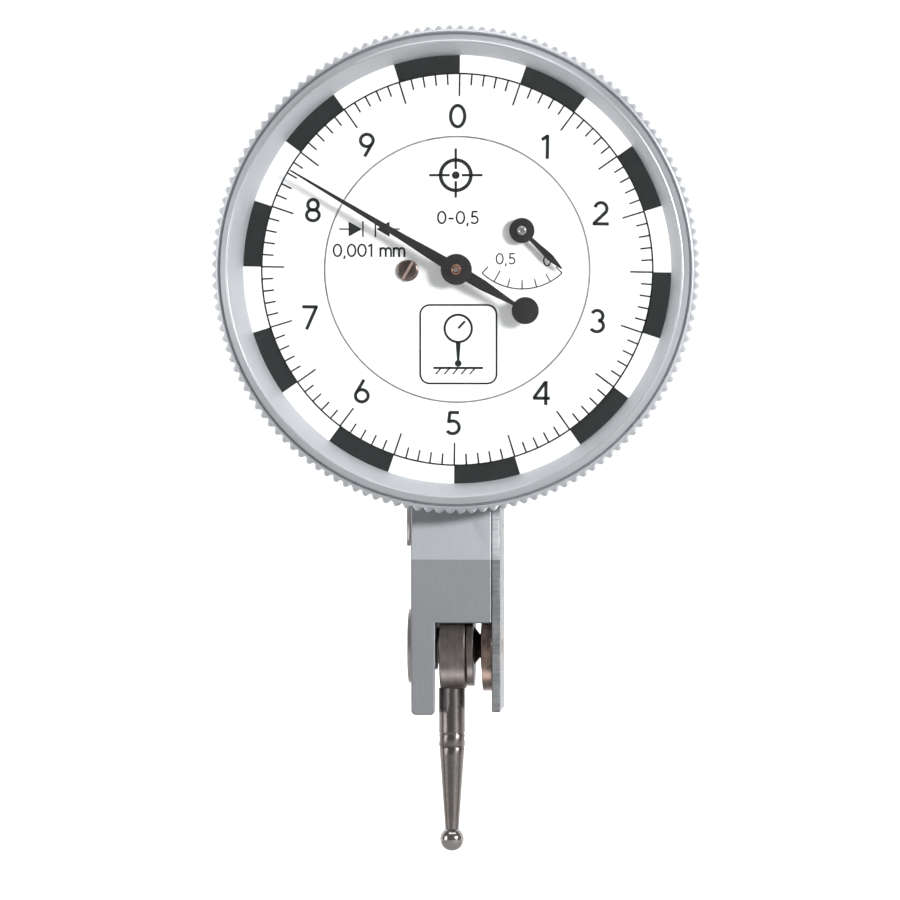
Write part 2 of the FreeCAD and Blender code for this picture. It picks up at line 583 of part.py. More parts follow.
middle_arbor = Piece("intermediate_arbor", "front", MIDDLE, turn=0.5).turned([
    ("0", "crown_pinion_low"), (PINION_TIP, "crown_pinion_low"),
    (PINION_TIP, "crown_pinion_high"), ("pivot_rad", "crown_pinion_high+0.1"),
    ("pivot_rad", "floor_height+floor_thick-0.05"),
    ("train_shaft", "floor_height+floor_thick+0.05"), ("train_shaft", "counter_wheel-0.1"),
    (PINION_TIP, "counter_wheel-0.1"), (PINION_TIP, "counter_wheel+wheel_thick+0.1"),
    ("train_shaft", "counter_wheel+wheel_thick+0.1"), ("train_shaft", "bridge_low+0.05"),
    ("pivot_rad", "bridge_low+0.05"), ("pivot_rad", f"{JEWEL_TOP}-0.05"),
    ("0", f"{JEWEL_TOP}-0.05")])
middle_arbor.toothed("pinion_teeth", "train_mod")

counter_arbor = Piece("counter_arbor", "front", COUNTER).turned([
    ("0", f"{JEWEL_FOOT}+0.05"), ("pivot_rad", f"{JEWEL_FOOT}+0.05"),
    ("pivot_rad", "floor_height+floor_thick-0.05"),
    ("train_shaft", "floor_height+floor_thick+0.05"), ("train_shaft", "bridge_low+0.05"),
    ("pivot_rad", "bridge_low+0.05"), ("pivot_rad", f"{JEWEL_TOP}+0.1"),
    ("spike_rad", f"{JEWEL_TOP}+0.1"), ("spike_rad", "hand_boss_high-0.05"),
    ("0", "hand_boss_high-0.05")])


def train_wheel(label, at, low, turn):
    """A spoked wheel of the train on its arbor's shaft."""
    wheel = ring_piece(label, "front", at, "train_shaft", WHEEL_TIP, low,
                       f"{low}+wheel_thick", turn=turn)
    wheel.toothed("wheel_teeth", "train_mod")
    wheel.opening(("0.62", "1.55", "0"))
    return wheel.around("5")


train_wheel("intermediate_wheel", MIDDLE, "first_wheel", TO_MIDDLE + 180 + HALF_TOOTH)
train_wheel("counter_wheel", COUNTER, "counter_wheel", TO_COUNTER + 180 + HALF_TOOTH)


def spiral_strip():
    """A flat spiral of half circles, each one pitch-half wider than the one before."""
    first, pitch, strip = value("spring_first"), value("spring_pitch"), value("spring_strip")
    low, high = value("spring_low"), value("spring_high")
    halves = int(round(value("spring_halves")))
    edges = {-1: [], 1: []}
    for side, run in edges.items():
        for index in range(halves):
            radius = first + index * pitch / 2 + side * strip / 2
            middle = 0.0 if index % 2 == 0 else pitch / 2
            upper = 1 if index % 2 == 0 else -1
            start = FreeCAD.Vector(middle + upper * radius, 0, low)
            over = FreeCAD.Vector(middle, upper * radius, low)
            end = FreeCAD.Vector(middle - upper * radius, 0, low)
            run.append(Part.Arc(start, over, end).toShape())
    ends = [Part.makeLine(edges[-1][0].Vertexes[0].Point, edges[1][0].Vertexes[0].Point),
            Part.makeLine(edges[-1][-1].Vertexes[-1].Point, edges[1][-1].Vertexes[-1].Point)]
    wire = Part.Wire(Part.__sortEdges__(edges[-1] + edges[1] + ends))
    return Part.Face(wire).extrude(FreeCAD.Vector(0, 0, high - low))


hairspring = doc.addObject("Part::Feature", "Hairspring")
hairspring.Shape = spiral_strip()
node(place(hairspring, "front", MIDDLE), "hairspring")

# The spiral starts on the collet's rim and ends at a stud on the bridge.
SPIRAL_END = "(spring_first+(spring_halves-1)*spring_pitch/2)"
collet = ring_piece("collet", "front", MIDDLE, "train_shaft", "spring_first-spring_strip/2",
                    "spring_low-0.04", "spring_high+0.04", kept=False)
node(collet.body, "hairspring_collet")
node(box((f"{MIDDLE_X}-{SPIRAL_END}-0.25", f"{MIDDLE_X}-{SPIRAL_END}+0.25"),
         ("spring_low-0.05", "bridge_low"),
         (f"{MIDDLE_Z}-0.5", f"{MIDDLE_Z}")), "hairspring_stud")

# --------------------------------------------------------------------------- dial case

case = Piece("case", "front", CENTRE, kept=False).turned([
    ("0", "floor_height"), ("case_flange", "floor_height"), ("case_flange", "case_shoulder"),
    ("spigot_rad", "case_shoulder"), ("spigot_rad", "snap_low"), ("snap_root", "snap_low"),
    ("snap_root", "snap_high"), ("spigot_rad", "snap_high"), ("spigot_rad", "spigot_high"),
    ("case_inner", "spigot_high"), ("case_inner", "floor_height+floor_thick"),
    ("0", "floor_height+floor_thick")])
FLOOR = ("floor_height-0.5", "floor_height+floor_thick+0.5")
PILLARS = [("-7", "4.5"), ("0.5", "-8.5"), ("8.2", "-4.5")]
floor_holes = [rod("jewel_rad", "front", FLOOR, at) for at in (CENTRE, MIDDLE, COUNTER)]
floor_holes += [rod("pillar_spigot", "front", FLOOR, at) for at in PILLARS]
node(cut(case.body, *floor_holes, *case_seats), "dial_case")
node(fuse(*[screw("front", at, "floor_height+floor_thick", -1, turn=15.0 + 40 * index)
            for index, at in enumerate(CASE_SPOTS)]), "dial_case_screws")
node(fuse(*[ring_piece("jewel", "front", at, "jewel_bore", "jewel_rad", "floor_height",
                       "floor_height+floor_thick", kept=False).body
            for at in (CENTRE, MIDDLE, COUNTER)]), "floor_jewels")

bridge = ring_piece("bridge", "front", CENTRE, "0.6", "bridge_rad", "bridge_low", "bridge_high",
                    kept=False)
BRIDGE = ("bridge_low-0.5", "bridge_high+0.5")
bridge_holes = [rod("0.6", "front", BRIDGE, at) for at in (MIDDLE, COUNTER)]
bridge_holes += [rod("pillar_spigot", "front", BRIDGE, at) for at in PILLARS]
bridge_holes.append(rod("screw_shank", "front", BRIDGE, ("dial_screw_x", "dial_screw_z")))
node(cut(bridge.body, *bridge_holes), "front_bridge")
node(fuse(*[ring_piece("jewel", "front", at, "jewel_bore", "0.6", "bridge_low", "bridge_high",
                       kept=False).body
            for at in (CENTRE, MIDDLE, COUNTER)]), "bridge_jewels")
pillar_parts = []
for spot in PILLARS:
    pillar_parts.append(rod("pillar_rad", "front", ("floor_height+floor_thick", "bridge_low"),
                            spot))
    pillar_parts.append(rod("pillar_spigot", "front", ("floor_height+0.1", "bridge_high-0.1"),
                            spot))
node(fuse(*pillar_parts), "bridge_pillars")

fixed_dial = Piece("fixed_dial", "front", CENTRE)
fixed_dial.plate(("dial_rad", "0", "0"), "dial_back", "dial_face")
fixed_dial.opening(("dial_hole", "0", "0"))
fixed_dial.opening(("dial_hole", "counter_x", "counter_z"))
fixed_dial.opening(("screw_shank", "dial_screw_x", "dial_screw_z"))
dial_screw = Piece("dial_screw", "front", ("dial_screw_x", "dial_screw_z"), turn=-30.0)
dial_screw.turned([
    ("0", "bridge_low+0.05"), ("screw_shank", "bridge_low+0.05"), ("screw_shank", "dial_face"),
    ("dial_screw_rad", "dial_face"), ("dial_screw_rad", "dial_face+dial_screw_high-0.06"),
    ("dial_screw_rad-0.08", "dial_face+dial_screw_high"), ("0", "dial_face+dial_screw_high")])
KERF = "(dial_face+dial_screw_high-0.2)"
dial_screw.opening([("-0.13", KERF), ("0.13", KERF), ("0.13", f"{KERF}+1"),
                    ("-0.13", f"{KERF}+1")], "XZ_Plane")

# --------------------------------------------------------------------------- bezel

SLOPE = "((slope_high-slope_low)/(slope_top-dial_face))"
GLASS_BACK = f"slope_low+{SLOPE}*(glass_low-dial_face)"
GLASS_FRONT = f"slope_low+{SLOPE}*(glass_high-dial_face)"
bezel = Piece("bezel_ring", "front", CENTRE)
bezel.turned([
    ("ring_outer", "bezel_back"), ("bezel_step-0.25", "bezel_back"),
    ("bezel_step", "bezel_back+0.25"), ("bezel_step", "knurl_low-0.15"),
    ("bezel_tip", "knurl_low+0.25"), ("bezel_tip", "knurl_high"),
    ("bezel_step", "knurl_high+0.45"), ("19.28", "knurl_high+0.75"),
    ("19.16", "knurl_high+0.55"), ("19.06", "knurl_high+0.8"), ("18.98", "bezel_front-0.16"),
    ("18.88", "bezel_front-0.04"), ("18.76", "bezel_front"), ("18.64", "bezel_front-0.02"),
    ("slope_high", "slope_top"), ("slope_low", "dial_face"), ("ring_outer", "dial_face"),
    ("ring_outer", "snap_high"), ("snap_roof", "snap_high"), ("snap_roof", "snap_low"),
    ("ring_outer", "snap_low")])
HALF_PITCH = "(180/bezel_teeth)"
bezel.opening([("bezel_root", "0"),
               ("bezel_tip+0.05", f"bezel_tip*tan({HALF_PITCH})"),
               ("bezel_tip+0.05", f"-bezel_tip*tan({HALF_PITCH})")])
bezel.around("bezel_teeth")
Piece("crystal", "front", CENTRE).turned([
    ("0", "glass_low"), (GLASS_BACK, "glass_low"), (GLASS_FRONT, "glass_high"),
    ("0", "glass_high")])
ring_piece("dial_ring", "front", CENTRE, "ring_inner", "ring_outer", "dial_back", "dial_face")

snap = doc.addObject("Part::Torus", "Snap")
snap.setExpression("Radius1", bound("snap_rad"))
snap.setExpression("Radius2", bound("snap_wire"))
node(place(snap, "front", CENTRE, start="(snap_low+snap_high)/2"), "bezel_snap_ring")

# --------------------------------------------------------------------------- pointers

pointer = Piece("pointer", "front", CENTRE, turn=value("pointer_angle"))
pointer.plate([
    ("-pointer_root", "0"), ("-0.6*pointer_root", "-pointer_tail"),
    ("0.6*pointer_root", "-pointer_tail"), ("pointer_root", "0"),
    ("pointer_tip", "pointer_long"), ("-pointer_tip", "pointer_long")],
    "pointer_low", "pointer_high")
pointer.plate(("pointer_hub", "0", "0"), "pointer_low", "pointer_high")
pointer.plate(("tail_disc", "0", "-pointer_tail"), "pointer_low", "pointer_high")
pointer.opening(("boss_rad", "0", "0"))
Piece("pointer_boss", "front", CENTRE).turned([
    ("spike_rad", "boss_bottom"), ("boss_rad", "boss_bottom"), ("boss_rad", "boss_high-0.08"),
    ("boss_rad-0.08", "boss_high"), ("spike_rad", "boss_high")])

hand = Piece("counter_hand", "front", COUNTER, turn=value("hand_angle"))
hand.plate([
    ("-0.16", "0"), ("-0.17", "hand_hub"), ("-0.31", "0.72*hand_long"), ("-0.05", "hand_long"),
    ("0.05", "hand_long"), ("0.31", "0.72*hand_long"), ("0.17", "hand_hub"), ("0.16", "0")],
    "hand_low", "hand_high")
hand.plate(("hand_hub", "0", "0"), "hand_low", "hand_high")
hand.opening(("hand_boss", "0", "0"))
Piece("counter_boss", "front", COUNTER).turned([
    ("spike_rad", "hand_boss_low"), ("hand_boss", "hand_boss_low"),
    ("hand_boss", "hand_boss_high-0.06"), ("hand_boss-0.06", "hand_boss_high"),
    ("spike_rad", "hand_boss_high")])

# --------------------------------------------------------------------------- checks and export

doc.recompute()
for item in doc.Objects:
    if {"Invalid", "Error"} & set(item.State):
        raise RuntimeError(f"{item.Label} did not recompute: {item.State}")
for item in NODES:
    shape = item.Shape
    if shape.isNull() or not shape.isValid() or shape.Volume <= 0:
        raise RuntimeError(f"{item.Label} has no valid solid")

os.makedirs("parts", exist_ok=True)
for item in NODES:
    item.Shape.exportStep(f"parts/{item.Label}.step")
    extent = item.Shape.BoundBox
    print(f"{item.Label:22s} {len(item.Shape.Solids)} solid(s) {item.Shape.Volume:10.4f} mm3  "
          f"x {extent.XMin:7.2f} {extent.XMax:7.2f}  y {extent.YMin:7.2f} {extent.YMax:7.2f}  "
          f"z {extent.ZMin:7.2f} {extent.ZMax:7.2f}")
print(f"{len(NODES)} nodes; lever tail {value(TAIL):.4f}, short arm {value(SHORT_ARM):.4f}, "
      f"sector axis z {value(SECTOR_Z):.4f}, intermediate axis {value(MIDDLE_X):.4f} "
      f"{value(MIDDLE_Z):.4f}, lever to sector {value(GAIN):.4f}")
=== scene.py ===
"""Looks of a lever-type dial test indicator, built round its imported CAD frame.

Lengths in the dataclasses are in millimetres and are turned into metres where a mesh is made.
The dial faces -Y; a "height" is a distance from the rear dovetail towards the dial, so a point at
height h lies at y = -h. Plane drawings on the dial use (right, up) pairs, which are (x, z).
"""

import logging
import math
from dataclasses import dataclass, field
from enum import Enum
from typing import Callable, Iterable, Optional, Sequence, Union

import bmesh
import bpy
import numpy as np
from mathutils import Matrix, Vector


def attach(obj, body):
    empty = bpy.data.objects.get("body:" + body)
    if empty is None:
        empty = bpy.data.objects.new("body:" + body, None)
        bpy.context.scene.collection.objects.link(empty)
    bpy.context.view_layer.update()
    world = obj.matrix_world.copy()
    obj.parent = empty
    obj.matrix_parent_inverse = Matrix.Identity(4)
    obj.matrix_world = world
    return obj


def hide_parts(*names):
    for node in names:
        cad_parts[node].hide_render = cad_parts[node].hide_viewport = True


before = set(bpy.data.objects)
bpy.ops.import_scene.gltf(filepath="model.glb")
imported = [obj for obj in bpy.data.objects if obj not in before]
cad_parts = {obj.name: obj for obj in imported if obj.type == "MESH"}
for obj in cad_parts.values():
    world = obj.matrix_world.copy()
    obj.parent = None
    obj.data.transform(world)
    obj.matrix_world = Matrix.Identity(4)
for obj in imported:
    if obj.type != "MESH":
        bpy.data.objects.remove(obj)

LOG = logging.getLogger("dial_test_indicator")
MM = 0.001
FORK_AXIS = (0.0, -5.6, -31.4)
COUNTER_AXIS = (5.36, 3.2)
Array = np.ndarray
Stroke = tuple[Array, Union[float, Array], bool]
ThreeToOne = Callable[[Array, Array, Array], Array]
Colour = tuple[float, float, float]


# ---------------------------------------------------------------------------- shader maths


class Socket:
    """An output socket that can be used in ordinary arithmetic."""

    def __init__(self, graph: "Graph", link: bpy.types.NodeSocket) -> None:
        """Keep the graph that the socket belongs to."""
        self.graph = graph
        self.link = link

    def math(self, operation: str, *values: "Number") -> "Socket":
        """Add a Math node for an operation on values."""
        node = self.graph.node("ShaderNodeMath", {"operation": operation}, dict(enumerate(values)))
        return Socket(self.graph, node.outputs[0])

    def __add__(self, other: "Number") -> "Socket":
        """Sum."""
        return self.math("ADD", self, other)

    __radd__ = __add__

    def __sub__(self, other: "Number") -> "Socket":
        """Difference."""
        return self.math("SUBTRACT", self, other)

    def __rsub__(self, other: "Number") -> "Socket":
        """Difference, the other way round."""
        return self.math("SUBTRACT", other, self)

    def __mul__(self, other: "Number") -> "Socket":
        """Product."""
        return self.math("MULTIPLY", self, other)

    __rmul__ = __mul__

    def power(self, exponent: "Number") -> "Socket":
        """Raised to an exponent."""
        return self.math("POWER", self, exponent)

    def above(self, limit: float, soft: float) -> "Socket":
        """A mask that rises smoothly from 0 to 1 as the value passes a limit.

        Args:
            limit: the value at which the mask is a half.
            soft: the width over which it rises.

        Returns:
            The mask.
        """
        settings = {"interpolation_type": "SMOOTHSTEP"}
        inputs = {0: self, 1: limit - soft / 2, 2: limit + soft / 2, 3: 0.0, 4: 1.0}
        node = self.graph.node("ShaderNodeMapRange", settings, inputs)
        return Socket(self.graph, node.outputs[0])


Number = Union[float, Socket]


class Graph:
    """The node tree of one material, with a Principled surface at its end."""

    def __init__(self, name: str) -> None:
        """Start an empty material.

        Args:
            name: the material's name.
        """
        self.material = bpy.data.materials.new(name)
        self.material.use_nodes = True
        self.tree = self.material.node_tree
        self.surface = self.tree.nodes["Principled BSDF"]

    def node(self, kind: str, settings: dict, inputs: dict) -> bpy.types.Node:
        """Add any node.

        Args:
            kind: the node's type.
            settings: its own properties, set first.
            inputs: socket name or number to a value or a Socket.

        Returns:
            The new node.
        """
        made = self.tree.nodes.new(kind)
        for key, value in settings.items():
            setattr(made, key, value)
        for key, value in inputs.items():
            if isinstance(value, Socket):
                self.tree.links.new(value.link, made.inputs[key])
            else:
                made.inputs[key].default_value = value
        return made

    def place(self, scale: Sequence[float] = (1, 1, 1),
              centre: Sequence[float] = (0, 0, 0)) -> Socket:
        """Object coordinates in millimetres, moved to a centre and stretched.

        Args:
            scale: factors for x, y and z, per millimetre.
            centre: the point, in millimetres, that becomes the origin.

        Returns:
            The vector socket.
        """
        where = self.node("ShaderNodeTexCoord", {}, {})
        moved = self.node("ShaderNodeVectorMath", {"operation": "SUBTRACT"}, {
            0: Socket(self, where.outputs["Object"]), 1: tuple(c * MM for c in centre)})
        mapped = self.node("ShaderNodeMapping", {"vector_type": "POINT"}, {
            "Vector": Socket(self, moved.outputs[0]), "Scale": tuple(s / MM for s in scale)})
        return Socket(self, mapped.outputs[0])

    def parts(self, vector: Socket) -> tuple[Socket, Socket, Socket]:
        """The x, y and z of a vector."""
        split = self.node("ShaderNodeSeparateXYZ", {}, {0: vector})
        return tuple(Socket(self, out) for out in split.outputs)

    def vector(self, x: Number, y: Number, z: Number) -> Socket:
        """A vector of three values."""
        joined = self.node("ShaderNodeCombineXYZ", {}, {0: x, 1: y, 2: z})
        return Socket(self, joined.outputs[0])

    def noise(self, vector: Socket, scale: float, detail: float = 3.0,
              rough: float = 0.55) -> Socket:
        """Fractal noise from 0 to 1 about 0.5.

        Args:
            vector: where it is read.
            scale: its cycles per unit of the vector.
            detail: octaves.
            rough: the strength of each octave against the one before.

        Returns:
            The noise.
        """
        made = self.node("ShaderNodeTexNoise", {"noise_dimensions": "3D"}, {
            "Vector": vector, "Scale": scale, "Detail": detail, "Roughness": rough})
        return Socket(self, made.outputs[0])

    def blend(self, factor: Number, low: Union[Colour, Socket],
              high: Union[Colour, Socket]) -> Socket:
        """A colour between two.

        Args:
            factor: 0 for the low colour, 1 for the high one.
            low: a colour or a colour socket.
            high: a colour or a colour socket.

        Returns:
            The mixed colour.
        """
        shades = [(*c, 1.0) if isinstance(c, tuple) else c for c in (low, high)]
        mixed = self.node("ShaderNodeMix", {"data_type": "RGBA"}, {
            0: factor, 6: shades[0], 7: shades[1]})
        return Socket(self, mixed.outputs[2])

    def round_coordinates(self) -> tuple[Socket, Socket, Socket]:
        """Polar coordinates about the dial's axis.

        Returns:
            Radius in millimetres, angle in radians and y in millimetres.
        """
        x, y, z = self.parts(self.place())
        radius = (x * x + z * z).power(0.5)
        angle = x.math("ARCTAN2", z, x)
        return radius, angle, y

    def finish(self, colour: Union[Colour, Socket], rough: Number, metal: float,
               bump: Optional[Socket] = None, lift: float = 0.0, **extra: float
               ) -> bpy.types.Material:
        """Connect the surface.

        Args:
            colour: base colour.
            rough: roughness.
            metal: metallic value.
            bump: a height pattern, or None.
            lift: the pattern's full height in millimetres.
            extra: further Principled inputs by name, with _ for a space.

        Returns:
            The finished material.
        """
        values = {"Base Color": (*colour, 1.0) if isinstance(colour, tuple) else colour,
                  "Roughness": rough, "Metallic": metal}
        values.update({key.replace("_", " "): value for key, value in extra.items()})
        if bump is not None:
            raised = self.node("ShaderNodeBump", {}, {
                "Height": bump, "Strength": 1.0, "Distance": lift * MM})
            values["Normal"] = Socket(self, raised.outputs[0])
        for key, value in values.items():
            if isinstance(value, Socket):
                self.tree.links.new(value.link, self.surface.inputs[key])
            else:
                self.surface.inputs[key].default_value = value
        return self.material


def scaled(colour: Colour, part: float) -> Colour:
    """A colour times a factor."""
    return tuple(part * c for c in colour)


class Lay(Enum):
    """Which way the fine lines of a worked metal surface run."""

    ALONG = "along the body"
    ACROSS = "across the body"
    ROUND = "round the dial axis"
    STEM = "round the stylus axis"


@dataclass(frozen=True)
class WorkedMetal:
    """A ground, milled or turned metal with fine lines, cloudy tone and slight handling marks.

    Where dim is under 1, light and shade are painted into the tone. It is full on the front (y
    below front) above a level and dim times that under the level, a painted shade for the darker
    reflection of the lower front. On the other faces it is aside times that: painted light where
    aside is above 1, painted shade where it is under 1.
    """

    name: str
    colour: Colour
    shade: Colour
    rough: float = 0.3
    spread: float = 0.08
    lay: Lay = Lay.ALONG
    fine: float = 9.0
    lift: float = 0.004
    cloud: float = 0.18
    level: float = -24.05
    front: float = -9.1
    # dim scales the front's tone below the level: a painted shade.
    dim: float = 1.0
    # aside scales the tone of the faces other than the front: painted light above 1, painted shade
    # under 1.
    aside: float = 0.74

    def lines(self, graph: Graph) -> Socket:
        """The coordinate in which the worked lines are long one way and fine the other.

        Args:
            graph: the material's nodes.

        Returns:
            Object coordinates stretched along the lay, or polar ones for turned work.
        """
        if self.lay is Lay.ROUND:
            radius, angle, height = graph.round_coordinates()
            return graph.vector(radius * self.fine, height * self.fine, angle * 1.5)
        stretch = {Lay.ALONG: (1.0, 1.0, 0.09), Lay.ACROSS: (0.12, 0.2, 1.0),
                   Lay.STEM: (0.3, 0.3, 1.0)}[self.lay]
        return graph.place(scale=tuple(part * self.fine for part in stretch))

    def make(self) -> bpy.types.Material:
        """Build the material.

        Returns:
            A Principled metal: colour = mix of two tones by cloudy noise and line noise, roughness
            = base + spread * noise, bump = line noise.
        """
        graph = Graph(self.name)
        grain = graph.noise(self.lines(graph), 1.0, 4.0, 0.6)
        clouds = graph.noise(graph.place(), self.cloud, 3.0)
        specks = graph.noise(graph.place(), 4.5, 5.0, 0.7)
        mask = (grain * 0.5 + clouds * 0.5).above(0.5, 0.34)
        colour = graph.blend(mask, self.shade, self.colour)
        # Painted tone by face: shade on the front below the level, the other faces scaled by
        # aside.
        if self.dim < 1.0:
            x, y, z = graph.parts(graph.place())
            painted_lower_tone, sides = (graph.blend(mask, scaled(self.shade, part), scaled(self.colour, part))
                            for part in (self.dim, self.aside))
            colour = graph.blend(z.above(self.level, 0.04), painted_lower_tone, colour)
            colour = graph.blend(y.above(self.front, 0.02), colour, sides)
        rough = self.rough + self.spread * (grain + specks - 1.0)
        return graph.finish(colour, rough, 1.0, grain, self.lift)


@dataclass(frozen=True)
class BezelChrome:
    """Satin chrome that is blasted matt on the inner slope and turned bright outside it."""

    name: str = "bezel_chrome"
    colour: Colour = (0.66, 0.68, 0.71)
    slope: Colour = (0.50, 0.515, 0.54)
    lip: float = 18.56
    fine: float = 8.0

    def make(self) -> bpy.types.Material:
        """Build the material.

        Returns:
            A metal whose metallic value, tone and roughness change where the radius passes the
            lip, with lines round the axis outside it and fine grit inside.
        """
        graph = Graph(self.name)
        radius, angle, height = graph.round_coordinates()
        outside = radius.above(self.lip, 0.06)
        turning = graph.noise(graph.vector(radius * self.fine, height * self.fine, angle * 1.5),
                              1.0, 4.0)
        grit = graph.noise(graph.place(), 16.0, 3.0, 0.7)
        clouds = graph.noise(graph.place(), 0.3, 3.0)
        light = graph.blend(clouds.above(0.5, 0.6), scaled(self.colour, 0.92), self.colour)
        colour = graph.blend(outside, self.slope, light)
        rough = 0.62 - 0.24 * outside + 0.06 * (turning - 0.5)
        metal = 0.25 + 0.7 * outside
        return graph.finish(colour, rough, metal, turning * 0.5 + grit * 0.5, 0.003)


@dataclass(frozen=True)
class Lacquer:
    """A painted, printed or enamelled skin with an even tone and a soft orange-peel surface."""

    name: str
    colour: Colour
    shade: Colour
    rough: float = 0.5
    peel: float = 0.002
    specular: float = 0.4

    def make(self) -> bpy.types.Material:
        """Build the material.

        Returns:
            A Principled dielectric whose tone and roughness drift slightly with noise.
        """
        graph = Graph(self.name)
        drift = graph.noise(graph.place(), 0.35, 3.0)
        peel = graph.noise(graph.place(), 9.0, 3.0)
        colour = graph.blend(drift.above(0.5, 0.5), self.shade, self.colour)
        return graph.finish(colour, self.rough + 0.08 * (peel - 0.5), 0.0, peel, self.peel,
                            Specular_IOR_Level=self.specular)


@dataclass(frozen=True)
class Tempered:
    """Dark brown tempered steel, oiled, with oxide clouds and fine turning lines."""

    name: str
    colour: Colour
    shade: Colour
    rough: float = 0.34
    axis: tuple[float, float, float] = (0.0, 0.0, 0.0)
    fine: float = 14.0

    def make(self) -> bpy.types.Material:
        """Build the material.

        Returns:
            A metal that drifts between two browns, with lines round the fork's axis.
        """
        graph = Graph(self.name)
        clouds = graph.noise(graph.place(), 0.8, 4.0, 0.6)
        x, y, z = graph.parts(graph.place(centre=self.axis))
        radius = (y * y + z * z).power(0.5)
        lines = graph.noise(graph.vector(x * self.fine, radius * self.fine, 0.0), 1.0, 3.0)
        colour = graph.blend((clouds * 0.7 + lines * 0.3).above(0.5, 0.3), self.shade, self.colour)
        rough = self.rough + 0.14 * (clouds + lines - 1.0)
        return graph.finish(colour, rough, 0.9, lines, 0.004)


@dataclass(frozen=True)
class Clear:
    """A clear crystal: mostly see-through, with a faint sheen and dust."""

    name: str = "clear_crystal"
    colour: Colour = (0.4, 0.42, 0.43)
    alpha: float = 0.012
    dust: float = 0.006

    def make(self) -> bpy.types.Material:
        """Build the material.

        Returns:
            A Principled dielectric of low alpha, a little denser where dust lies.
        """
        graph = Graph(self.name)
        dust = graph.noise(graph.place(), 1.3, 5.0, 0.7)
        return graph.finish(self.colour, 0.04 + 0.03 * dust, 0.0,
                            Alpha=self.alpha + self.dust * (dust - 0.5))


@dataclass(frozen=True)
class Jewel:
    """Polished synthetic ruby."""

    name: str = "ruby"
    colour: Colour = (0.62, 0.03, 0.08)
    shade: Colour = (0.32, 0.01, 0.03)

    def make(self) -> bpy.types.Material:
        """Build the material.

        Returns:
            A glossy deep red with slight growth bands.
        """
        graph = Graph(self.name)
        bands = graph.noise(graph.place(scale=(1, 3, 1)), 2.0, 2.0)
        colour = graph.blend(bands.above(0.5, 0.4), self.shade, self.colour)
        return graph.finish(colour, 0.08 + 0.06 * bands, 0.0, Coat_Weight=0.5)


# ---------------------------------------------------------------------------- surfaces


@dataclass
class Surface:
    """Vertices and faces of a piece before it becomes a mesh, in millimetres."""

    points: Array = field(default_factory=lambda: np.zeros((0, 3)))
    quads: Array = field(default_factory=lambda: np.zeros((0, 4), dtype=int))

    def add(self, points: Array, quads: Array) -> "Surface":
        """Append points and the faces that index them.

        Args:
            points: array of shape (n, 3).
            quads: array of shape (m, 4) of indices into points.

        Returns:
            This surface.
        """
        self.quads = np.vstack([self.quads, quads + len(self.points)])
        self.points = np.vstack([self.points, points])
        return self


def grid_quads(rows: int, columns: int, wrap_rows: bool, wrap_columns: bool) -> Array:
    """Faces of a grid numbered row by row.

    Face (i, j) joins points (i, j), (i+1, j), (i+1, j+1) and (i, j+1), with indices taken modulo
    the size in a direction that wraps.

    Args:
        rows: number of rows.
        columns: number of columns.
        wrap_rows: whether the last row joins the first.
        wrap_columns: whether the last column joins the first.

    Returns:
        Index array of shape (faces, 4).
    """
    i, j = np.meshgrid(np.arange(rows if wrap_rows else rows - 1),
                       np.arange(columns if wrap_columns else columns - 1), indexing="ij")
    after_i, after_j = (i + 1) % rows, (j + 1) % columns
    corners = [i * columns + j, after_i * columns + j, after_i * columns + after_j,
               i * columns + after_j]
    return np.stack([c.ravel() for c in corners], axis=1)


def turned(profile: Array, angles: Union[int, Array], closed: bool, axis: ThreeToOne,
           shape: Optional[ThreeToOne] = None) -> Surface:
    """A surface of revolution: P(a, s) = axis(r(s) cos a, r(s) sin a, station(s)).

    Args:
        profile: array (n, 2) of radius and station along the axis.
        angles: the angles round the axis in radians, or how many even steps.
        closed: whether the profile's end joins its start.
        axis: turns two cross coordinates and a station into x, y, z.
        shape: optional change of radius from (angle, radius, station).

    Returns:
        The surface.
    """
    if isinstance(angles, int):
        angles = np.linspace(0.0, 2 * np.pi, angles, endpoint=False)
    angle, count = angles[:, None], len(angles)
    radius = np.broadcast_to(profile[None, :, 0], (count, len(profile))).copy()
    station = np.broadcast_to(profile[None, :, 1], radius.shape)
    if shape is not None:
        radius = shape(angle, radius, station)
    points = axis(radius * np.cos(angle), radius * np.sin(angle), station)
    quads = grid_quads(count, len(profile), True, closed)
    return Surface().add(points.reshape(-1, 3), quads)


def facing(x: float = 0.0, z: float = 0.0) -> ThreeToOne:
    """Axis towards the dial through (x, z): (p, q, s) becomes (x + p, -s, z + q)."""
    return lambda p, q, s: np.stack([x + p, -s, z + q], axis=-1)


def upright(x: float, height: float) -> ThreeToOne:
    """Axis along Z: (p, q, s) becomes (x + p, q - height, s)."""
    return lambda p, q, s: np.stack([x + p, q - height, s], axis=-1)


def eased(profile: Sequence[tuple[float, float]], ease: float, steps: int = 3) -> Array:
    """Round every corner of an open polyline with a quadratic curve.

    B(t) = (1-t)^2 a + 2t(1-t) c + t^2 b, where c is the corner and a, b lie up to `ease` from it.

    Args:
        profile: the corners.
        ease: the distance from a corner at which its curve starts.
        steps: points per corner, less one.

    Returns:
        Array of points.
    """
    corners = np.array(profile, dtype=float)
    spans = np.diff(corners, axis=0)
    lengths = np.linalg.norm(spans, axis=1, keepdims=True)
    unit = spans / lengths
    before = np.minimum(ease, lengths[:-1] * 0.45)
    after = np.minimum(ease, lengths[1:] * 0.45)
    start = corners[1:-1] - unit[:-1] * before
    end = corners[1:-1] + unit[1:] * after
    t = np.linspace(0, 1, steps + 1)[None, :, None]
    curve = ((1 - t) ** 2 * start[:, None] + 2 * t * (1 - t) * corners[1:-1, None]
             + t ** 2 * end[:, None]).reshape(-1, 2)
    return np.vstack([corners[:1], curve, corners[-1:]])


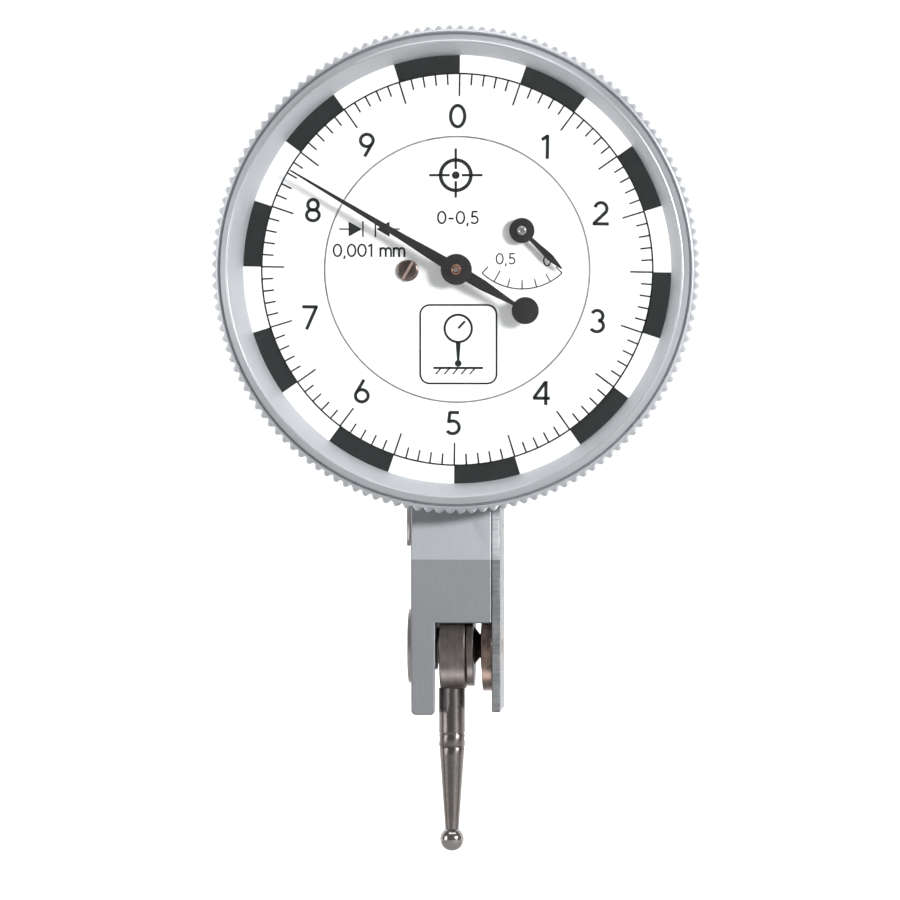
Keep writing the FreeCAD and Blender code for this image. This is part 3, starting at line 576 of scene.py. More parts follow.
def arc(x: float, y: float, rx: float, ry: float, start: float, end: float,
        count: int = 28) -> Array:
    """Points (x + rx cos a, y + ry sin a) for a from start to end, in degrees."""
    a = np.radians(np.linspace(start, end, count))
    return np.stack([x + rx * np.cos(a), y + ry * np.sin(a)], axis=1)


def line(*points: tuple[float, float]) -> Array:
    """Points as an array."""
    return np.array(points, dtype=float)


def printed(strokes: Iterable[Stroke], low: float, high: float, spin: float = 0.0) -> Surface:
    """Thin closed bars of ink on the dial plane.

    For a path C(s) with unit normal n(s) and width w(s), the bar's section runs through
    C - n w/2 and C + n w/2 at heights low and high; open bars are capped at both ends.

    Args:
        strokes: (path, width or widths, closed) with paths as (right, up) points.
        low: height of the underside.
        high: height of the top.
        spin: clockwise turn of the whole print about the dial's axis, in degrees.

    Returns:
        The surface.
    """
    made = Surface()
    turn = math.radians(-spin)
    spun = np.array([[math.cos(turn), math.sin(turn)], [-math.sin(turn), math.cos(turn)]])
    for path, width, closed in strokes:
        if closed:
            step = np.roll(path, -1, axis=0) - np.roll(path, 1, axis=0)
        else:
            step = np.gradient(path, axis=0)
        step = step / np.linalg.norm(step, axis=1, keepdims=True)
        normal = np.stack([-step[:, 1], step[:, 0]], axis=1)
        half = np.broadcast_to(np.asarray(width, dtype=float) / 2, (len(path),))[:, None]
        left, right = (path + normal * half) @ spun, (path - normal * half) @ spun
        section = [(left, low), (left, high), (right, high), (right, low)]
        points = np.stack([np.stack([p[:, 0], np.full(len(p), -h), p[:, 1]], axis=1)
                           for p, h in section], axis=1)
        quads = grid_quads(len(path), 4, closed, True)
        if not closed:
            last = 4 * (len(path) - 1)
            caps = np.array([[0, 1, 2, 3], [last + 3, last + 2, last + 1, last]])
            quads = np.vstack([quads, caps])
        made.add(points.reshape(-1, 3), quads)
    return made


Finish = Union[WorkedMetal, BezelChrome, Lacquer, Tempered, Clear, Jewel]


class Workshop:
    """Turns surfaces and CAD nodes into dressed pieces on their bodies."""

    def __init__(self) -> None:
        """Start with no materials made."""
        self.made: dict[str, bpy.types.Material] = {}

    def finish(self, kind: Finish) -> bpy.types.Material:
        """The material of a finish, made once."""
        if kind.name not in self.made:
            self.made[kind.name] = kind.make()
        return self.made[kind.name]

    def dress(self, kind: Finish, *nodes: str) -> None:
        """Give CAD nodes a finish.

        Args:
            kind: the finish.
            nodes: CAD node names.
        """
        for name in nodes:
            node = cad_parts[name]
            if not node.material_slots:
                node.data.materials.append(None)
            for slot in node.material_slots:
                slot.material = self.finish(kind)

    def piece(self, name: str, surface: Surface, kind: Finish, body: str,
              replaces: Sequence[str] = (), sharp: float = 35.0) -> None:
        """Make a piece of a surface.

        Args:
            name: the piece's name.
            surface: its points and faces, in millimetres.
            kind: its finish.
            body: the body that it rides on.
            replaces: CAD nodes that it stands for.
            sharp: angle in degrees from which an edge is sharp.
        """
        mesh = bpy.data.meshes.new(name)
        mesh.vertices.add(len(surface.points))
        mesh.vertices.foreach_set("co", (surface.points * MM).astype(np.float32).ravel())
        mesh.loops.add(surface.quads.size)
        mesh.loops.foreach_set("vertex_index", surface.quads.astype(np.int32).ravel())
        mesh.polygons.add(len(surface.quads))
        starts = np.arange(0, surface.quads.size, 4, dtype=np.int32)
        mesh.polygons.foreach_set("loop_start", starts)
        mesh.update(calc_edges=True)
        work = bmesh.new()
        work.from_mesh(mesh)
        bmesh.ops.remove_doubles(work, verts=work.verts, dist=1e-8)
        bmesh.ops.dissolve_degenerate(work, edges=work.edges, dist=1e-9)
        self.close(work, mesh)
        self.settle(name, mesh, kind, body, replaces, sharp)

    def eased_node(self, name: str, node: str, kind: Finish, body: str, slot: str,
                   ease: float, sharp: float = 30.0) -> None:
        """Copy a CAD node with its hard edges eased by a narrow bevel.

        Args:
            name: the piece's name.
            node: the CAD node, which the piece replaces.
            kind: its finish.
            body: the body that it rides on.
            slot: the record's material slot; not used.
            ease: bevel width in millimetres.
            sharp: angle in degrees from which an edge is bevelled.
        """
        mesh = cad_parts[node].data.copy()
        mesh.name = name
        mesh.materials.clear()
        work = bmesh.new()
        work.from_mesh(mesh)
        bmesh.ops.remove_doubles(work, verts=work.verts, dist=2e-7)
        bmesh.ops.dissolve_limit(work, angle_limit=math.radians(0.4), verts=work.verts,
                                 edges=work.edges)
        self.close(work, mesh)
        made = self.settle(name, mesh, kind, body, (node,), sharp)
        bevel = made.modifiers.new("eased_edges", "BEVEL")
        bevel.width = ease * MM
        bevel.segments = 2
        bevel.limit_method = "ANGLE"
        bevel.angle_limit = math.radians(sharp)
        bevel.harden_normals = True
        bevel.use_clamp_overlap = False

    @staticmethod
    def close(work: bmesh.types.BMesh, mesh: bpy.types.Mesh) -> None:
        """Turn a worked mesh's faces outwards, write it back and free it.

        Args:
            work: the mesh being worked.
            mesh: where it is written.
        """
        bmesh.ops.recalc_face_normals(work, faces=work.faces)
        work.to_mesh(mesh)
        work.free()

    def settle(self, name: str, mesh: bpy.types.Mesh, kind: Finish, body: str,
               replaces: Sequence[str], sharp: float) -> bpy.types.Object:
        """Shade a mesh, dress it and put it on its body.

        Args:
            name: the piece's name.
            mesh: its closed mesh.
            kind: its finish.
            body: the body that it rides on.
            replaces: CAD nodes that it stands for.
            sharp: angle in degrees from which an edge is sharp.

        Returns:
            The new object.
        """
        mesh.shade_smooth()
        mesh.set_sharp_from_angle(angle=math.radians(sharp))
        mesh.materials.append(self.finish(kind))
        made = bpy.data.objects.new(name, mesh)
        bpy.context.scene.collection.objects.link(made)
        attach(made, body)
        if replaces:
            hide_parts(*replaces)
        LOG.info("%s rides on %s: %d faces", name, body, len(mesh.polygons))
        return made


# ---------------------------------------------------------------------------- finishes

# SATIN_BODY and MILLED: painted shade on the lower front (dim), painted light on the other faces
# (aside above 1).
SATIN_BODY = WorkedMetal("satin_chrome_body", (0.34, 0.35, 0.37), (0.31, 0.32, 0.34),
                         rough=0.46, spread=0.04, lay=Lay.ALONG, fine=7.0, lift=0.0012,
                         dim=0.66, aside=1.5)
MILLED = WorkedMetal("milled_plate", (0.41, 0.42, 0.435), (0.25, 0.26, 0.27), rough=0.52,
                     spread=0.16, lay=Lay.ACROSS, fine=6.0, lift=0.02, cloud=0.6,
                     dim=0.44, aside=1.1)
COVER = WorkedMetal("cover_plate", (0.50, 0.48, 0.47), (0.40, 0.38, 0.37), rough=0.42,
                    lay=Lay.ALONG, fine=8.0)
BEZEL_METAL = BezelChrome()
CASE_METAL = WorkedMetal("turned_case", (0.62, 0.63, 0.65), (0.5, 0.51, 0.53), rough=0.36,
                         lay=Lay.ROUND, fine=6.0, lift=0.005)
BRIGHT = WorkedMetal("bright_steel", (0.66, 0.64, 0.63), (0.52, 0.5, 0.49), rough=0.2,
                     spread=0.06, lay=Lay.ROUND, fine=12.0, lift=0.002)
BRASS = WorkedMetal("brass", (0.72, 0.53, 0.25), (0.6, 0.42, 0.18), rough=0.28, spread=0.08,
                    lay=Lay.ROUND, fine=10.0, lift=0.003)
RED_BRASS = WorkedMetal("red_brass", (0.46, 0.27, 0.20), (0.30, 0.13, 0.09), rough=0.2,
                        spread=0.08, lay=Lay.ROUND, fine=12.0, lift=0.003)
BALL = WorkedMetal("ball_metal", (0.37, 0.353, 0.34), (0.30, 0.285, 0.277), rough=0.16,
                   spread=0.05, lay=Lay.STEM, fine=9.0, lift=0.0006)
STEM_METAL = WorkedMetal("stem_gunmetal", (0.23, 0.208, 0.198), (0.165, 0.15, 0.142), rough=0.26,
                         spread=0.06, lay=Lay.STEM, fine=10.0, lift=0.0005)
SPRING = WorkedMetal("spring_strip", (0.5, 0.5, 0.58), (0.4, 0.4, 0.5), rough=0.2)
HUB_STEEL = Tempered("tempered_hub", (0.19, 0.168, 0.16), (0.12, 0.105, 0.10), rough=0.36,
                     axis=FORK_AXIS)
BUSH_STEEL = Tempered("tempered_bush", (0.24, 0.17, 0.14), (0.10, 0.08, 0.075), rough=0.3,
                      axis=FORK_AXIS)
SCREW_STEEL = Tempered("tempered_screw", (0.24, 0.17, 0.14), (0.1, 0.08, 0.07), rough=0.24)
# Painted highlight: this bright tone in the face screw's slot stands for the light that the slot
# catches.
SLOT_GLINT_PAINT = WorkedMetal("painted_slot_glint", (0.80, 0.62, 0.56), (0.62, 0.44, 0.38), rough=0.5,
                        lay=Lay.ALONG, fine=10.0, lift=0.002)
ENAMEL = Lacquer("dial_enamel", (0.93, 0.935, 0.935), (0.9, 0.905, 0.905), rough=0.55,
                 peel=0.0015)
INK = Lacquer("dial_ink", (0.013, 0.015, 0.015), (0.010, 0.012, 0.012), rough=0.6, peel=0.001,
              specular=0.2)
POINTER_BLACK = Lacquer("pointer_black", (0.018, 0.015, 0.015), (0.012, 0.010, 0.010),
                        rough=0.42, peel=0.003, specular=0.3)
CRYSTAL = Clear()
RUBY = Jewel()


# ---------------------------------------------------------------------------- sub-assemblies


@dataclass
class Figures:
    """Upright figures drawn as strokes in a box one unit high and centred on x = 0."""

    weight: float = 0.126

    def strokes(self, sign: str) -> list[Array]:
        """Centre lines of one sign.

        Args:
            sign: a digit, a comma or the letter m.

        Returns:
            Paths in units of the figure's height.
        """
        low, high = self.weight / 2, 1 - self.weight / 2
        bowl = 0.315
        signs = {
            "0": [arc(0, 0.5, 0.292, high - 0.5, 0, 360, 49)[:-1]],
            "1": [line((0.07, 0.0), (0.07, 1.0)), line((0.08, 0.955), (-0.17, 0.785))],
            "2": [np.vstack([arc(0.0, 0.69, 0.247, 0.247, 168, -38, 22),
                             line((-0.275, low + 0.02))]),
                  line((-0.335, low), (0.335, low))],
            "3": [arc(-0.03, 0.71, 0.235, 0.227, 152, -78, 26),
                  arc(-0.04, 0.305, 0.275, 0.242, 80, -150, 28)],
            "4": [line((0.19, 0.0), (0.19, 1.0)), line((0.17, 0.965), (-0.31, 0.285)),
                  line((-0.345, 0.285), (0.36, 0.285))],
            "5": [line((-0.17, high), (0.23, high)), line((-0.15, high + 0.03), (-0.195, 0.5)),
                  arc(-0.03, 0.325, 0.272, 0.262, 128, -146, 30)],
            "6": [arc(0, bowl, 0.262, 0.252, 0, 360, 41)[:-1],
                  line((0.085, 0.985), (-0.222, 0.44))],
            "7": [line((-0.33, high), (0.31, high)), line((0.27, high + 0.03), (-0.14, 0.0))],
            "8": [arc(0, 0.715, 0.212, 0.222, 0, 360, 37)[:-1],
                  arc(0, 0.29, 0.262, 0.227, 0, 360, 41)[:-1]],
            "9": [arc(0, 1 - bowl, 0.262, 0.252, 0, 360, 41)[:-1],
                  line((-0.085, 0.015), (0.222, 0.56))],
            ",": [line((0.03, 0.11), (-0.04, -0.16))],
            "-": [line((-0.2, 0.42), (0.2, 0.42))],
            "m": [line((-0.40, 0.0), (-0.40, 0.72)),
                  np.vstack([arc(-0.2, 0.45, 0.2, 0.22, 180, 0, 15), line((0.0, 0.0))]),
                  np.vstack([arc(0.2, 0.45, 0.2, 0.22, 180, 0, 15), line((0.4, 0.0))])],
        }
        return signs[sign]

    def width(self, sign: str) -> float:
        """Advance width of a sign, in units of its height."""
        return {",": 0.28, "1": 0.5, "m": 1.0, "-": 0.62}.get(sign, 0.78)

    def text(self, words: str, x: float, y: float, height: float, weight: float) -> list[Stroke]:
        """Strokes of a line of figures that starts at x on the baseline y.

        Args:
            words: the signs.
            x: left edge in millimetres.
            y: baseline in millimetres.
            height: figure height in millimetres.
            weight: stroke width in millimetres.

        Returns:
            Strokes for `printed`.
        """
        made: list[Stroke] = []
        for sign in words:
            middle = x + self.width(sign) * height / 2
            for path in self.strokes(sign):
                closed = len(path) > 30 and np.linalg.norm(path[0] - path[-1]) < 0.08
                made.append((path * height + (middle, y), weight, closed))
            x += self.width(sign) * height
        return made

    def centred(self, words: str, x: float, y: float, height: float,
                weight: float) -> list[Stroke]:
        """Strokes of figures centred on a point."""
        span = sum(self.width(sign) for sign in words) * height
        return self.text(words, x - span / 2, y - height / 2, height, weight)


@dataclass
class Dial:
    """The printed faces: an outer scale that turns with the bezel and a fixed inner face.

    figure_shifts says how far right and up each figure stands from its place on the spoke.
    """

    face: float = 13.8
    ink: float = 0.014
    circle: float = 16.10
    rim: float = 17.62
    short: float = 0.93
    long: float = 1.86
    thin: float = 0.135
    figure_ring: float = 12.68
    figure_high: float = 1.99
    figure_weight: float = 0.275
    marks_round: int = 100
    blocks: int = 10
    figure_shifts: tuple[tuple[float, float], ...] = (
        (-0.12, -0.08), (-0.29, -0.08), (-0.29, 0.86), (-0.41, -0.16), (-0.37, 0.2),
        (-0.12, 0.04), (-0.25, 0.12), (0.0, -0.2), (0.12, 0.8), (-0.12, -0.12))
    face_ring: float = 10.86
    ring_spin: float = 0.8
    counter_ring: float = 4.8
    counter_step: float = 14.4
    counter_line: float = 0.1
    fine_line: float = 0.12
    firm_line: float = 0.19
    small_high: float = 1.1
    arrow: float = 1.26
    figures: Figures = field(default_factory=Figures)

    @staticmethod
    def spoke(angle: float, inner: float, outer: float) -> Array:
        """A radial line at a clockwise angle in degrees from straight up."""
        a = math.radians(angle)
        return np.outer([inner, outer], [math.sin(a), math.cos(a)])

    def outer_scale(self) -> list[Stroke]:
        """A hundred graduations, their circle, the chequered band and the figures.

        Returns:
            Strokes for `printed`.
        """
        strokes: list[Stroke] = [(arc(0, 0, self.circle, self.circle, 0, 360, 361)[:-1],
                                  self.thin, True)]
        step = 360 / self.marks_round
        for mark in range(self.marks_round):
            length = self.long if mark % 5 == 0 else self.short
            strokes.append((self.spoke(mark * step, self.circle - length, self.circle),
                            self.thin, False))
        middle = (self.circle + self.rim) / 2
        band = self.rim - self.circle
        sector = 360 / self.blocks
        for block in range(self.blocks):
            start = 90 - (block - 0.5) * sector
            strokes.append((arc(0, 0, middle, middle, start, start - sector / 2, 37), band,
                            False))
        for number, (right, up) in enumerate(self.figure_shifts):
            a = math.radians(number * sector)
            x, y = self.figure_ring * math.sin(a), self.figure_ring * math.cos(a)
            strokes += self.figures.centred(str(number), x + right, y + up, self.figure_high,
                                            self.figure_weight)
        return strokes

    def counter_scale(self) -> list[Stroke]:
        """The revolution counter's arc, its seven marks and its two figures.

        Returns:
            Strokes for `printed`.
        """
        x, y = COUNTER_AXIS
        ring, reach = self.counter_ring, 3 * self.counter_step
        strokes: list[Stroke] = [(arc(x, y, ring, ring, -90 - reach, -90 + reach, 61),
                                  self.counter_line, False)]
        for step in range(-3, 4):
            length = 1.05 if step == 2 else 0.72
            mark = self.spoke(180 + step * self.counter_step, ring - length, ring)
            strokes.append((mark + np.array([x, y]), self.counter_line, False))
        strokes += self.figures.centred("0,5", 4.02, 0.88, 0.95, 0.115)
        strokes += self.figures.centred("0", 7.42, 0.72, 0.95, 0.115)
        return strokes

    def reading(self) -> list[Stroke]:
        """The value of a graduation: two arrows that close on an interval, over its size.

        Returns:
            Strokes for `printed`.
        """
        y, half, base = 3.32, 0.66, 1.02
        strokes: list[Stroke] = [
            (line(start, end), self.fine_line, False) for start, end in (
                ((-9.72, y), (-8.88, y)), ((-7.75, y - half), (-7.75, y + half)),
                ((-6.72, y - half), (-6.72, y + half)), ((-5.6, y), (-4.72, y)))]
        strokes += [(line((start, y), (tip, y)), np.array([self.arrow, 0.02]), False)
                    for start, tip in ((-8.93, -7.85), (-5.55, -6.62))]
        strokes += self.figures.text("0,001", -10.28, base, self.small_high, 0.15)
        strokes += self.figures.text("mm", -6.42, base, self.small_high, 0.165)
        return strokes

    def marks(self) -> list[Stroke]:
        """A centring target and the range above the axis, a boxed lever sketch below it.

        Returns:
            Strokes for `printed`.
        """
        x, y = -0.1, 7.75
        strokes: list[Stroke] = [
            (arc(0, 0, self.face_ring, self.face_ring, 0, 360, 181)[:-1], 0.027, True),
            (arc(x, y, 1.25, 1.25, 0, 360, 61)[:-1], 0.3, True),
            (arc(x, y, 0.16, 0.16, 0, 360, 21)[:-1], 0.32, True)]
        strokes += [(line(start, end), 0.2, False) for start, end in (
            ((-2.3, y), (-0.6, y)), ((0.4, y), (2.1, y)), ((x, 8.25), (x, 9.95)),
            ((x, 7.25), (x, 5.9)))]
        strokes += self.figures.centred("0-0,5", 0.1, 4.27, self.small_high, 0.15)
        corner, right, left, top, bottom = 0.78, 2.48, -2.25, -3.70, -8.6
        box = np.vstack([arc(across, up, corner, corner, start, start - 90, 9)
                         for across, up, start in ((right, top, 90), (right, bottom, 0),
                                                   (left, bottom, -90), (left, top, 180))])
        x, y, floor = 0.1, -4.85, -8.1
        strokes += [
            (box, 0.15, True),
            (arc(x, y, 1.12, 1.12, 0, 360, 49)[:-1], self.firm_line, True),
            (line((x, y), (0.66, -4.25)), self.firm_line, False),
            (line((x, -5.9), (x, -7.5)), np.array([0.42, 0.2]), False),
            (arc(x, -7.72, 0.14, 0.14, 0, 360, 21)[:-1], 0.28, True),
            (line((-1.95, floor), (2.15, floor)), self.firm_line, False)]
        strokes += [(line((hatch, floor), (hatch - 0.45, -8.62)), self.fine_line, False)
                    for hatch in (-1.3, -0.6, 0.1, 0.8, 1.5)]
        return strokes

    def build(self, shop: Workshop) -> None:
        """Print both faces.

        Args:
            shop: the workshop that makes pieces.
        """
        low, high = self.face - 0.01, self.face + self.ink
        shop.dress(ENAMEL, "dial_ring", "fixed_dial")
        shop.piece("outer_scale_print", printed(self.outer_scale(), low, high, self.ring_spin),
                   INK, "bezel")
        inner = self.counter_scale() + self.reading() + self.marks()
        shop.piece("inner_face_print", printed(inner, low, high), INK, "case")


@dataclass
class Bezel:
    """The turning ring with its sloped lip, and the knurled band round it.

    tooth holds the places of the band's grid lines within one tooth, from 0 to 1.
    """

    teeth: int = 140
    root: float = 19.62
    tip: float = 20.0
    valley: float = 0.05
    flat: float = 0.26
    tooth: tuple[float, ...] = (0.0, 0.025, 0.19, 0.35, 0.5, 0.65, 0.81, 0.975)
    steps: int = 360
    sharp: float = 28.0

    def ring(self) -> Array:
        """The ring's section, with eased corners.

        Returns:
            Points (radius, height).
        """
        corners = [
            (17.9, 13.8), (17.9, 12.65), (18.1, 12.65), (18.1, 11.95), (17.9, 11.95),
            (17.9, 11.4), (19.17, 11.4), (19.42, 11.65), (19.42, 12.5), (19.6, 12.6),
            (19.6, 17.52), (19.54, 17.7), (19.36, 17.74), (19.33, 17.5), (19.24, 17.5),
            (19.2, 17.82), (18.72, 18.36), (18.6, 18.4), (18.5, 18.28),
            (17.6, 13.8), (17.9, 13.8)]
        return eased(corners, 0.06, 3)[:-1]

    def band(self) -> Array:
        """The knurled band's section, its inner side inside the ring.

        Returns:
            Points (radius, height).
        """
        corners = [(19.5, 13.4), (19.5, 12.58), (19.62, 12.55), (self.tip, 12.78),
                   (self.tip, 17.0), (19.62, 17.5), (19.5, 17.55), (19.5, 13.4)]
        return eased(corners, 0.07, 1)[:-1]

    def knurl(self, angle: Array, radius: Array, station: Array) -> Array:
        """Radius with the knurl's teeth: r' = min(r, root + depth * crest(a)).

        crest is 0 in a groove and 1 on a tooth: a triangle wave with its tops cut flat, and the
        first groove lies at angle 0.

        Args:
            angle: angles round the axis.
            radius: the section's radii.
            station: the section's heights, which change nothing.

        Returns:
            The new radii.
        """
        phase = np.abs((angle * self.teeth / (2 * np.pi) + 0.5) % 1.0 - 0.5) * 2
        crest = np.clip((phase - self.valley) / (1 - self.flat - self.valley), 0, 1)
        return np.minimum(radius, self.root + (self.tip - self.root) * crest)

    def build(self, shop: Workshop) -> None:
        """Make the ring and its band and dress what rides with them.

        Args:
            shop: the workshop that makes pieces.
        """
        shop.piece("bezel_lip_ring", turned(self.ring(), self.steps, True, facing()),
                   BEZEL_METAL, "bezel", ("bezel_ring",), sharp=self.sharp)
        steps = np.arange(self.teeth)[:, None] + np.array(self.tooth)
        angles = steps.ravel() * 2 * np.pi / self.teeth
        shop.piece("knurled_band", turned(self.band(), angles, True, facing(), self.knurl),
                   BEZEL_METAL, "bezel", sharp=self.sharp)
        shop.dress(CRYSTAL, "crystal")


@dataclass
class Blade:
    """A flat tapered pointer: a discs-and-blade plate between two heights.

    Stations run along the blade from its axis, negative behind it, and widths are full widths.
    The discs stand proud of the blade on both sides, so that no two faces lie in one plane.
    """

    centre: tuple[float, float]
    turn: float
    low: float
    high: float
    stations: tuple[float, ...]
    widths: tuple[float, ...]
    discs: tuple[tuple[float, float], ...]
    proud: float = 0.008

    def surface(self) -> Surface:
        """The blade and its discs.

        Returns:
            The swept blade C(s) +- n w(s)/2, with a turned disc at each of its hubs.
        """
        a = math.radians(-self.turn)
        along = np.array([math.sin(a), math.cos(a)])
        even = np.linspace(self.stations[0], self.stations[-1], 90)
        widths = np.interp(even, self.stations, self.widths)
        path = even[:, None] * along + np.array(self.centre)
        made = printed([(path, widths, False)], self.low, self.high)
        for station, radius in self.discs:
            x, z = np.array(self.centre) + station * along
            low, high = self.low - self.proud, self.high + self.proud
            rim = eased([(0.0, low), (radius, low), (radius, high), (0.0, high)], 0.03, 2)
            disc = turned(rim, 64, False, facing(x, z))
            made.add(disc.points, disc.quads)
        return made


@dataclass
class Pointers:
    """The long pointer, the counter hand and the pins that carry them."""

    pointer: Blade = field(default_factory=lambda: Blade(
        (0.0, 0.0), 59.2, 14.9, 15.05,
        (-6.6, -5.6, -4.2, -2.6, -1.1, 0.0, 1.1, 2.4, 5.0, 9.0, 15.9),
        (0.26, 0.30, 0.56, 0.88, 0.92, 0.9, 0.92, 0.84, 0.60, 0.40, 0.13),
        ((0.0, 1.28), (-6.6, 1.12))))
    hand: Blade = field(default_factory=lambda: Blade(
        COUNTER_AXIS, -133.7, 14.3, 14.42, (0.0, 1.0, 2.0, 3.2, 4.1, 4.55),
        (0.36, 0.34, 0.44, 0.60, 0.30, 0.10), ((0.0, 1.04),)))
    steps: int = 48

    @staticmethod
    def pin(radius: float, low: float, high: float) -> Array:
        """Section of a domed pin head with a turned ring and a dimple.

        Args:
            radius: the head's radius.
            low: height of its underside.
            high: height of its ring.

        Returns:
            Points (radius, height).
        """
        return eased([(0.0, low), (radius, low), (radius, high - 0.14),
                      (radius * 0.74, high), (radius * 0.5, high - 0.01),
                      (radius * 0.44, high - 0.16), (radius * 0.2, high - 0.12),
                      (0.0, high - 0.06)], 0.03, 3)

    def build(self, shop: Workshop) -> None:
        """Make the blades and the pin heads.

        Args:
            shop: the workshop that makes pieces.
        """
        shop.piece("long_pointer", self.pointer.surface(), POINTER_BLACK, "pointer",
                   ("pointer",))
        shop.piece("small_hand", self.hand.surface(), POINTER_BLACK, "counter",
                   ("counter_hand",))
        shop.piece("pointer_pin_head",
                   turned(self.pin(0.45, 14.16, 15.4), self.steps, False, facing()),
                   RED_BRASS, "pointer", ("pointer_boss",))
        shop.piece("hand_pin_head",
                   turned(self.pin(0.41, 14.02, 14.62), self.steps, False,
                          facing(*COUNTER_AXIS)),
                   BRIGHT, "counter", ("counter_boss",))
        shop.dress(BRIGHT, "centre_arbor", "counter_arbor")


@dataclass
class FaceScrew:
    """The slotted screw that holds the fixed dial."""

    centre: tuple[float, float] = (-4.04, -0.09)
    radius: float = 0.88
    low: float = 13.79
    high: float = 14.12
    slot: float = 0.15
    deep: float = 0.2
    dome: float = 0.35
    turn: float = 60.0

    def surface(self) -> Surface:
        """The head.

        A row v across the slot holds points (u sqrt(R^2 - v^2), v) with u from -1 to 1, at height
        low + (high - low) (1 - dome (rho/R)^8) outside the slot and at the slot's floor inside.

        Returns:
            The closed surface.
        """
        reach = self.radius * np.cos(np.linspace(np.pi, 0.62 * np.pi, 9))
        rows = np.concatenate([reach, self.slot * np.array([-1, -1, 1, 1]), -reach[::-1]])
        inside = np.zeros(len(rows), dtype=bool)
        inside[len(reach) + 1:len(reach) + 3] = True
        u = np.sin(np.linspace(-np.pi / 2, np.pi / 2, 15))
        v = np.repeat(rows[:, None], len(u), 1)
        x = u[None, :] * np.sqrt(np.maximum(self.radius ** 2 - v ** 2, 0))
        rho = np.sqrt(x ** 2 + v ** 2) / self.radius
        tall = self.low + (self.high - self.low) * (1 - self.dome * rho ** 8)
        height = np.where(inside[:, None], self.high - self.deep, tall)
        x, v = (np.concatenate([grid[:, :1], grid, grid[:, -1:]], axis=1) for grid in (x, v))
        height = np.pad(height, ((0, 0), (1, 1)), constant_values=self.low)
        a = math.radians(self.turn)
        right = self.centre[0] + x * math.cos(a) - v * math.sin(a)
        up = self.centre[1] + x * math.sin(a) + v * math.cos(a)
        points = np.stack([right, -height, up], axis=-1)
        return Surface().add(points.reshape(-1, 3), grid_quads(*x.shape, False, True))

    def build(self, shop: Workshop) -> None:
        """Make the head and a painted highlight on the floor of its slot.

        Args:
            shop: the workshop that makes pieces.
        """
        shop.piece("face_screw", self.surface(), SCREW_STEEL, "case",
                   ("dial_screw",), sharp=40.0)
        # A bright strip on the slot's floor is a painted highlight for the light that the slot
        # catches.
        a = math.radians(self.turn)
        along = np.array([math.cos(a), math.sin(a)]) * self.radius * 0.93
        path = line(tuple(-along), tuple(along)) + np.array(self.centre)
        floor = self.high - self.deep
        glint_strip = printed([(path, 2 * self.slot - 0.06, False)], floor - 0.02, floor + 0.05)
        shop.piece("face_screw_slot", glint_strip, SLOT_GLINT_PAINT, "case")


@dataclass
class Movement:
    """The wheels, arbors, jewels and spring behind the dial."""

    steel: tuple[str, ...] = ("intermediate_arbor", "crown_arbor", "sector_arbor", "sector_pin",
                              "lever_arbor", "bezel_snap_ring")
    brass: tuple[str, ...] = ("counter_wheel", "intermediate_wheel", "crown_gear", "sector_gear",
                              "hairspring_collet", "hairspring_stud", "front_bridge",
                              "bridge_pillars", "friction_washer")
    jewels: tuple[str, ...] = ("side_jewels", "floor_jewels", "bridge_jewels")

    def build(self, shop: Workshop) -> None:
        """Dress the movement.

        Args:
            shop: the workshop that makes pieces.
        """
        shop.dress(BRIGHT, *self.steel)
        shop.dress(BRASS, *self.brass)
        shop.dress(RUBY, *self.jewels)
        shop.dress(SPRING, "hairspring")


Eased = tuple[str, str, Finish, str, str, float]


@dataclass
class Body:
    """The forked block with its dovetails, its plates and the dial case.

    A row is a piece's name, its CAD node, finish, body, slot and the ease of its edges.
    """

    eased_parts: tuple[Eased, ...] = (
        ("forked_body", "body_block", SATIN_BODY, "case", "satin_chrome", 0.12),
        ("milled_side_plate", "side_plate", MILLED, "case", "milled_plate", 0.1),
        ("slim_cover", "left_cover", COVER, "case", "cover_plate", 0.05),
        ("turned_dial_case", "dial_case", CASE_METAL, "case", "case_metal", 0.08))

    def build(self, shop: Workshop) -> None:
        """Ease the edges of the block and its plates and dress the screws.

        Args:
            shop: the workshop that makes pieces.
        """
        for row in self.eased_parts:
            shop.eased_node(*row)
        shop.dress(SCREW_STEEL, "side_plate_screws", "left_cover_screws", "dial_case_screws")


@dataclass
class Fork:
    """The stylus hub, its friction disc, the nut and the bushes between the prongs.

    A row is a piece's name, its CAD node, finish, body, slot and the ease of its edges.
    """

    eased_parts: tuple[Eased, ...] = (
        ("swivel_hub", "stylus_hub", HUB_STEEL, "stylus", "dark_steel", 0.09),
        ("friction_carrier", "lever_carrier", HUB_STEEL, "lever", "dark_steel", 0.06),
        ("cone_nut", "clamp_nut", HUB_STEEL, "lever", "dark_steel", 0.05),
        ("flanged_bush", "right_pivot_bush", BUSH_STEEL, "case", "bush_steel", 0.06),
        ("pivot_cap", "left_pivot_bush", COVER, "case", "cover_plate", 0.06))

    def build(self, shop: Workshop) -> None:
        """Ease the turned parts.

        Args:
            shop: the workshop that makes pieces.
        """
        for row in self.eased_parts:
            shop.eased_node(*row)


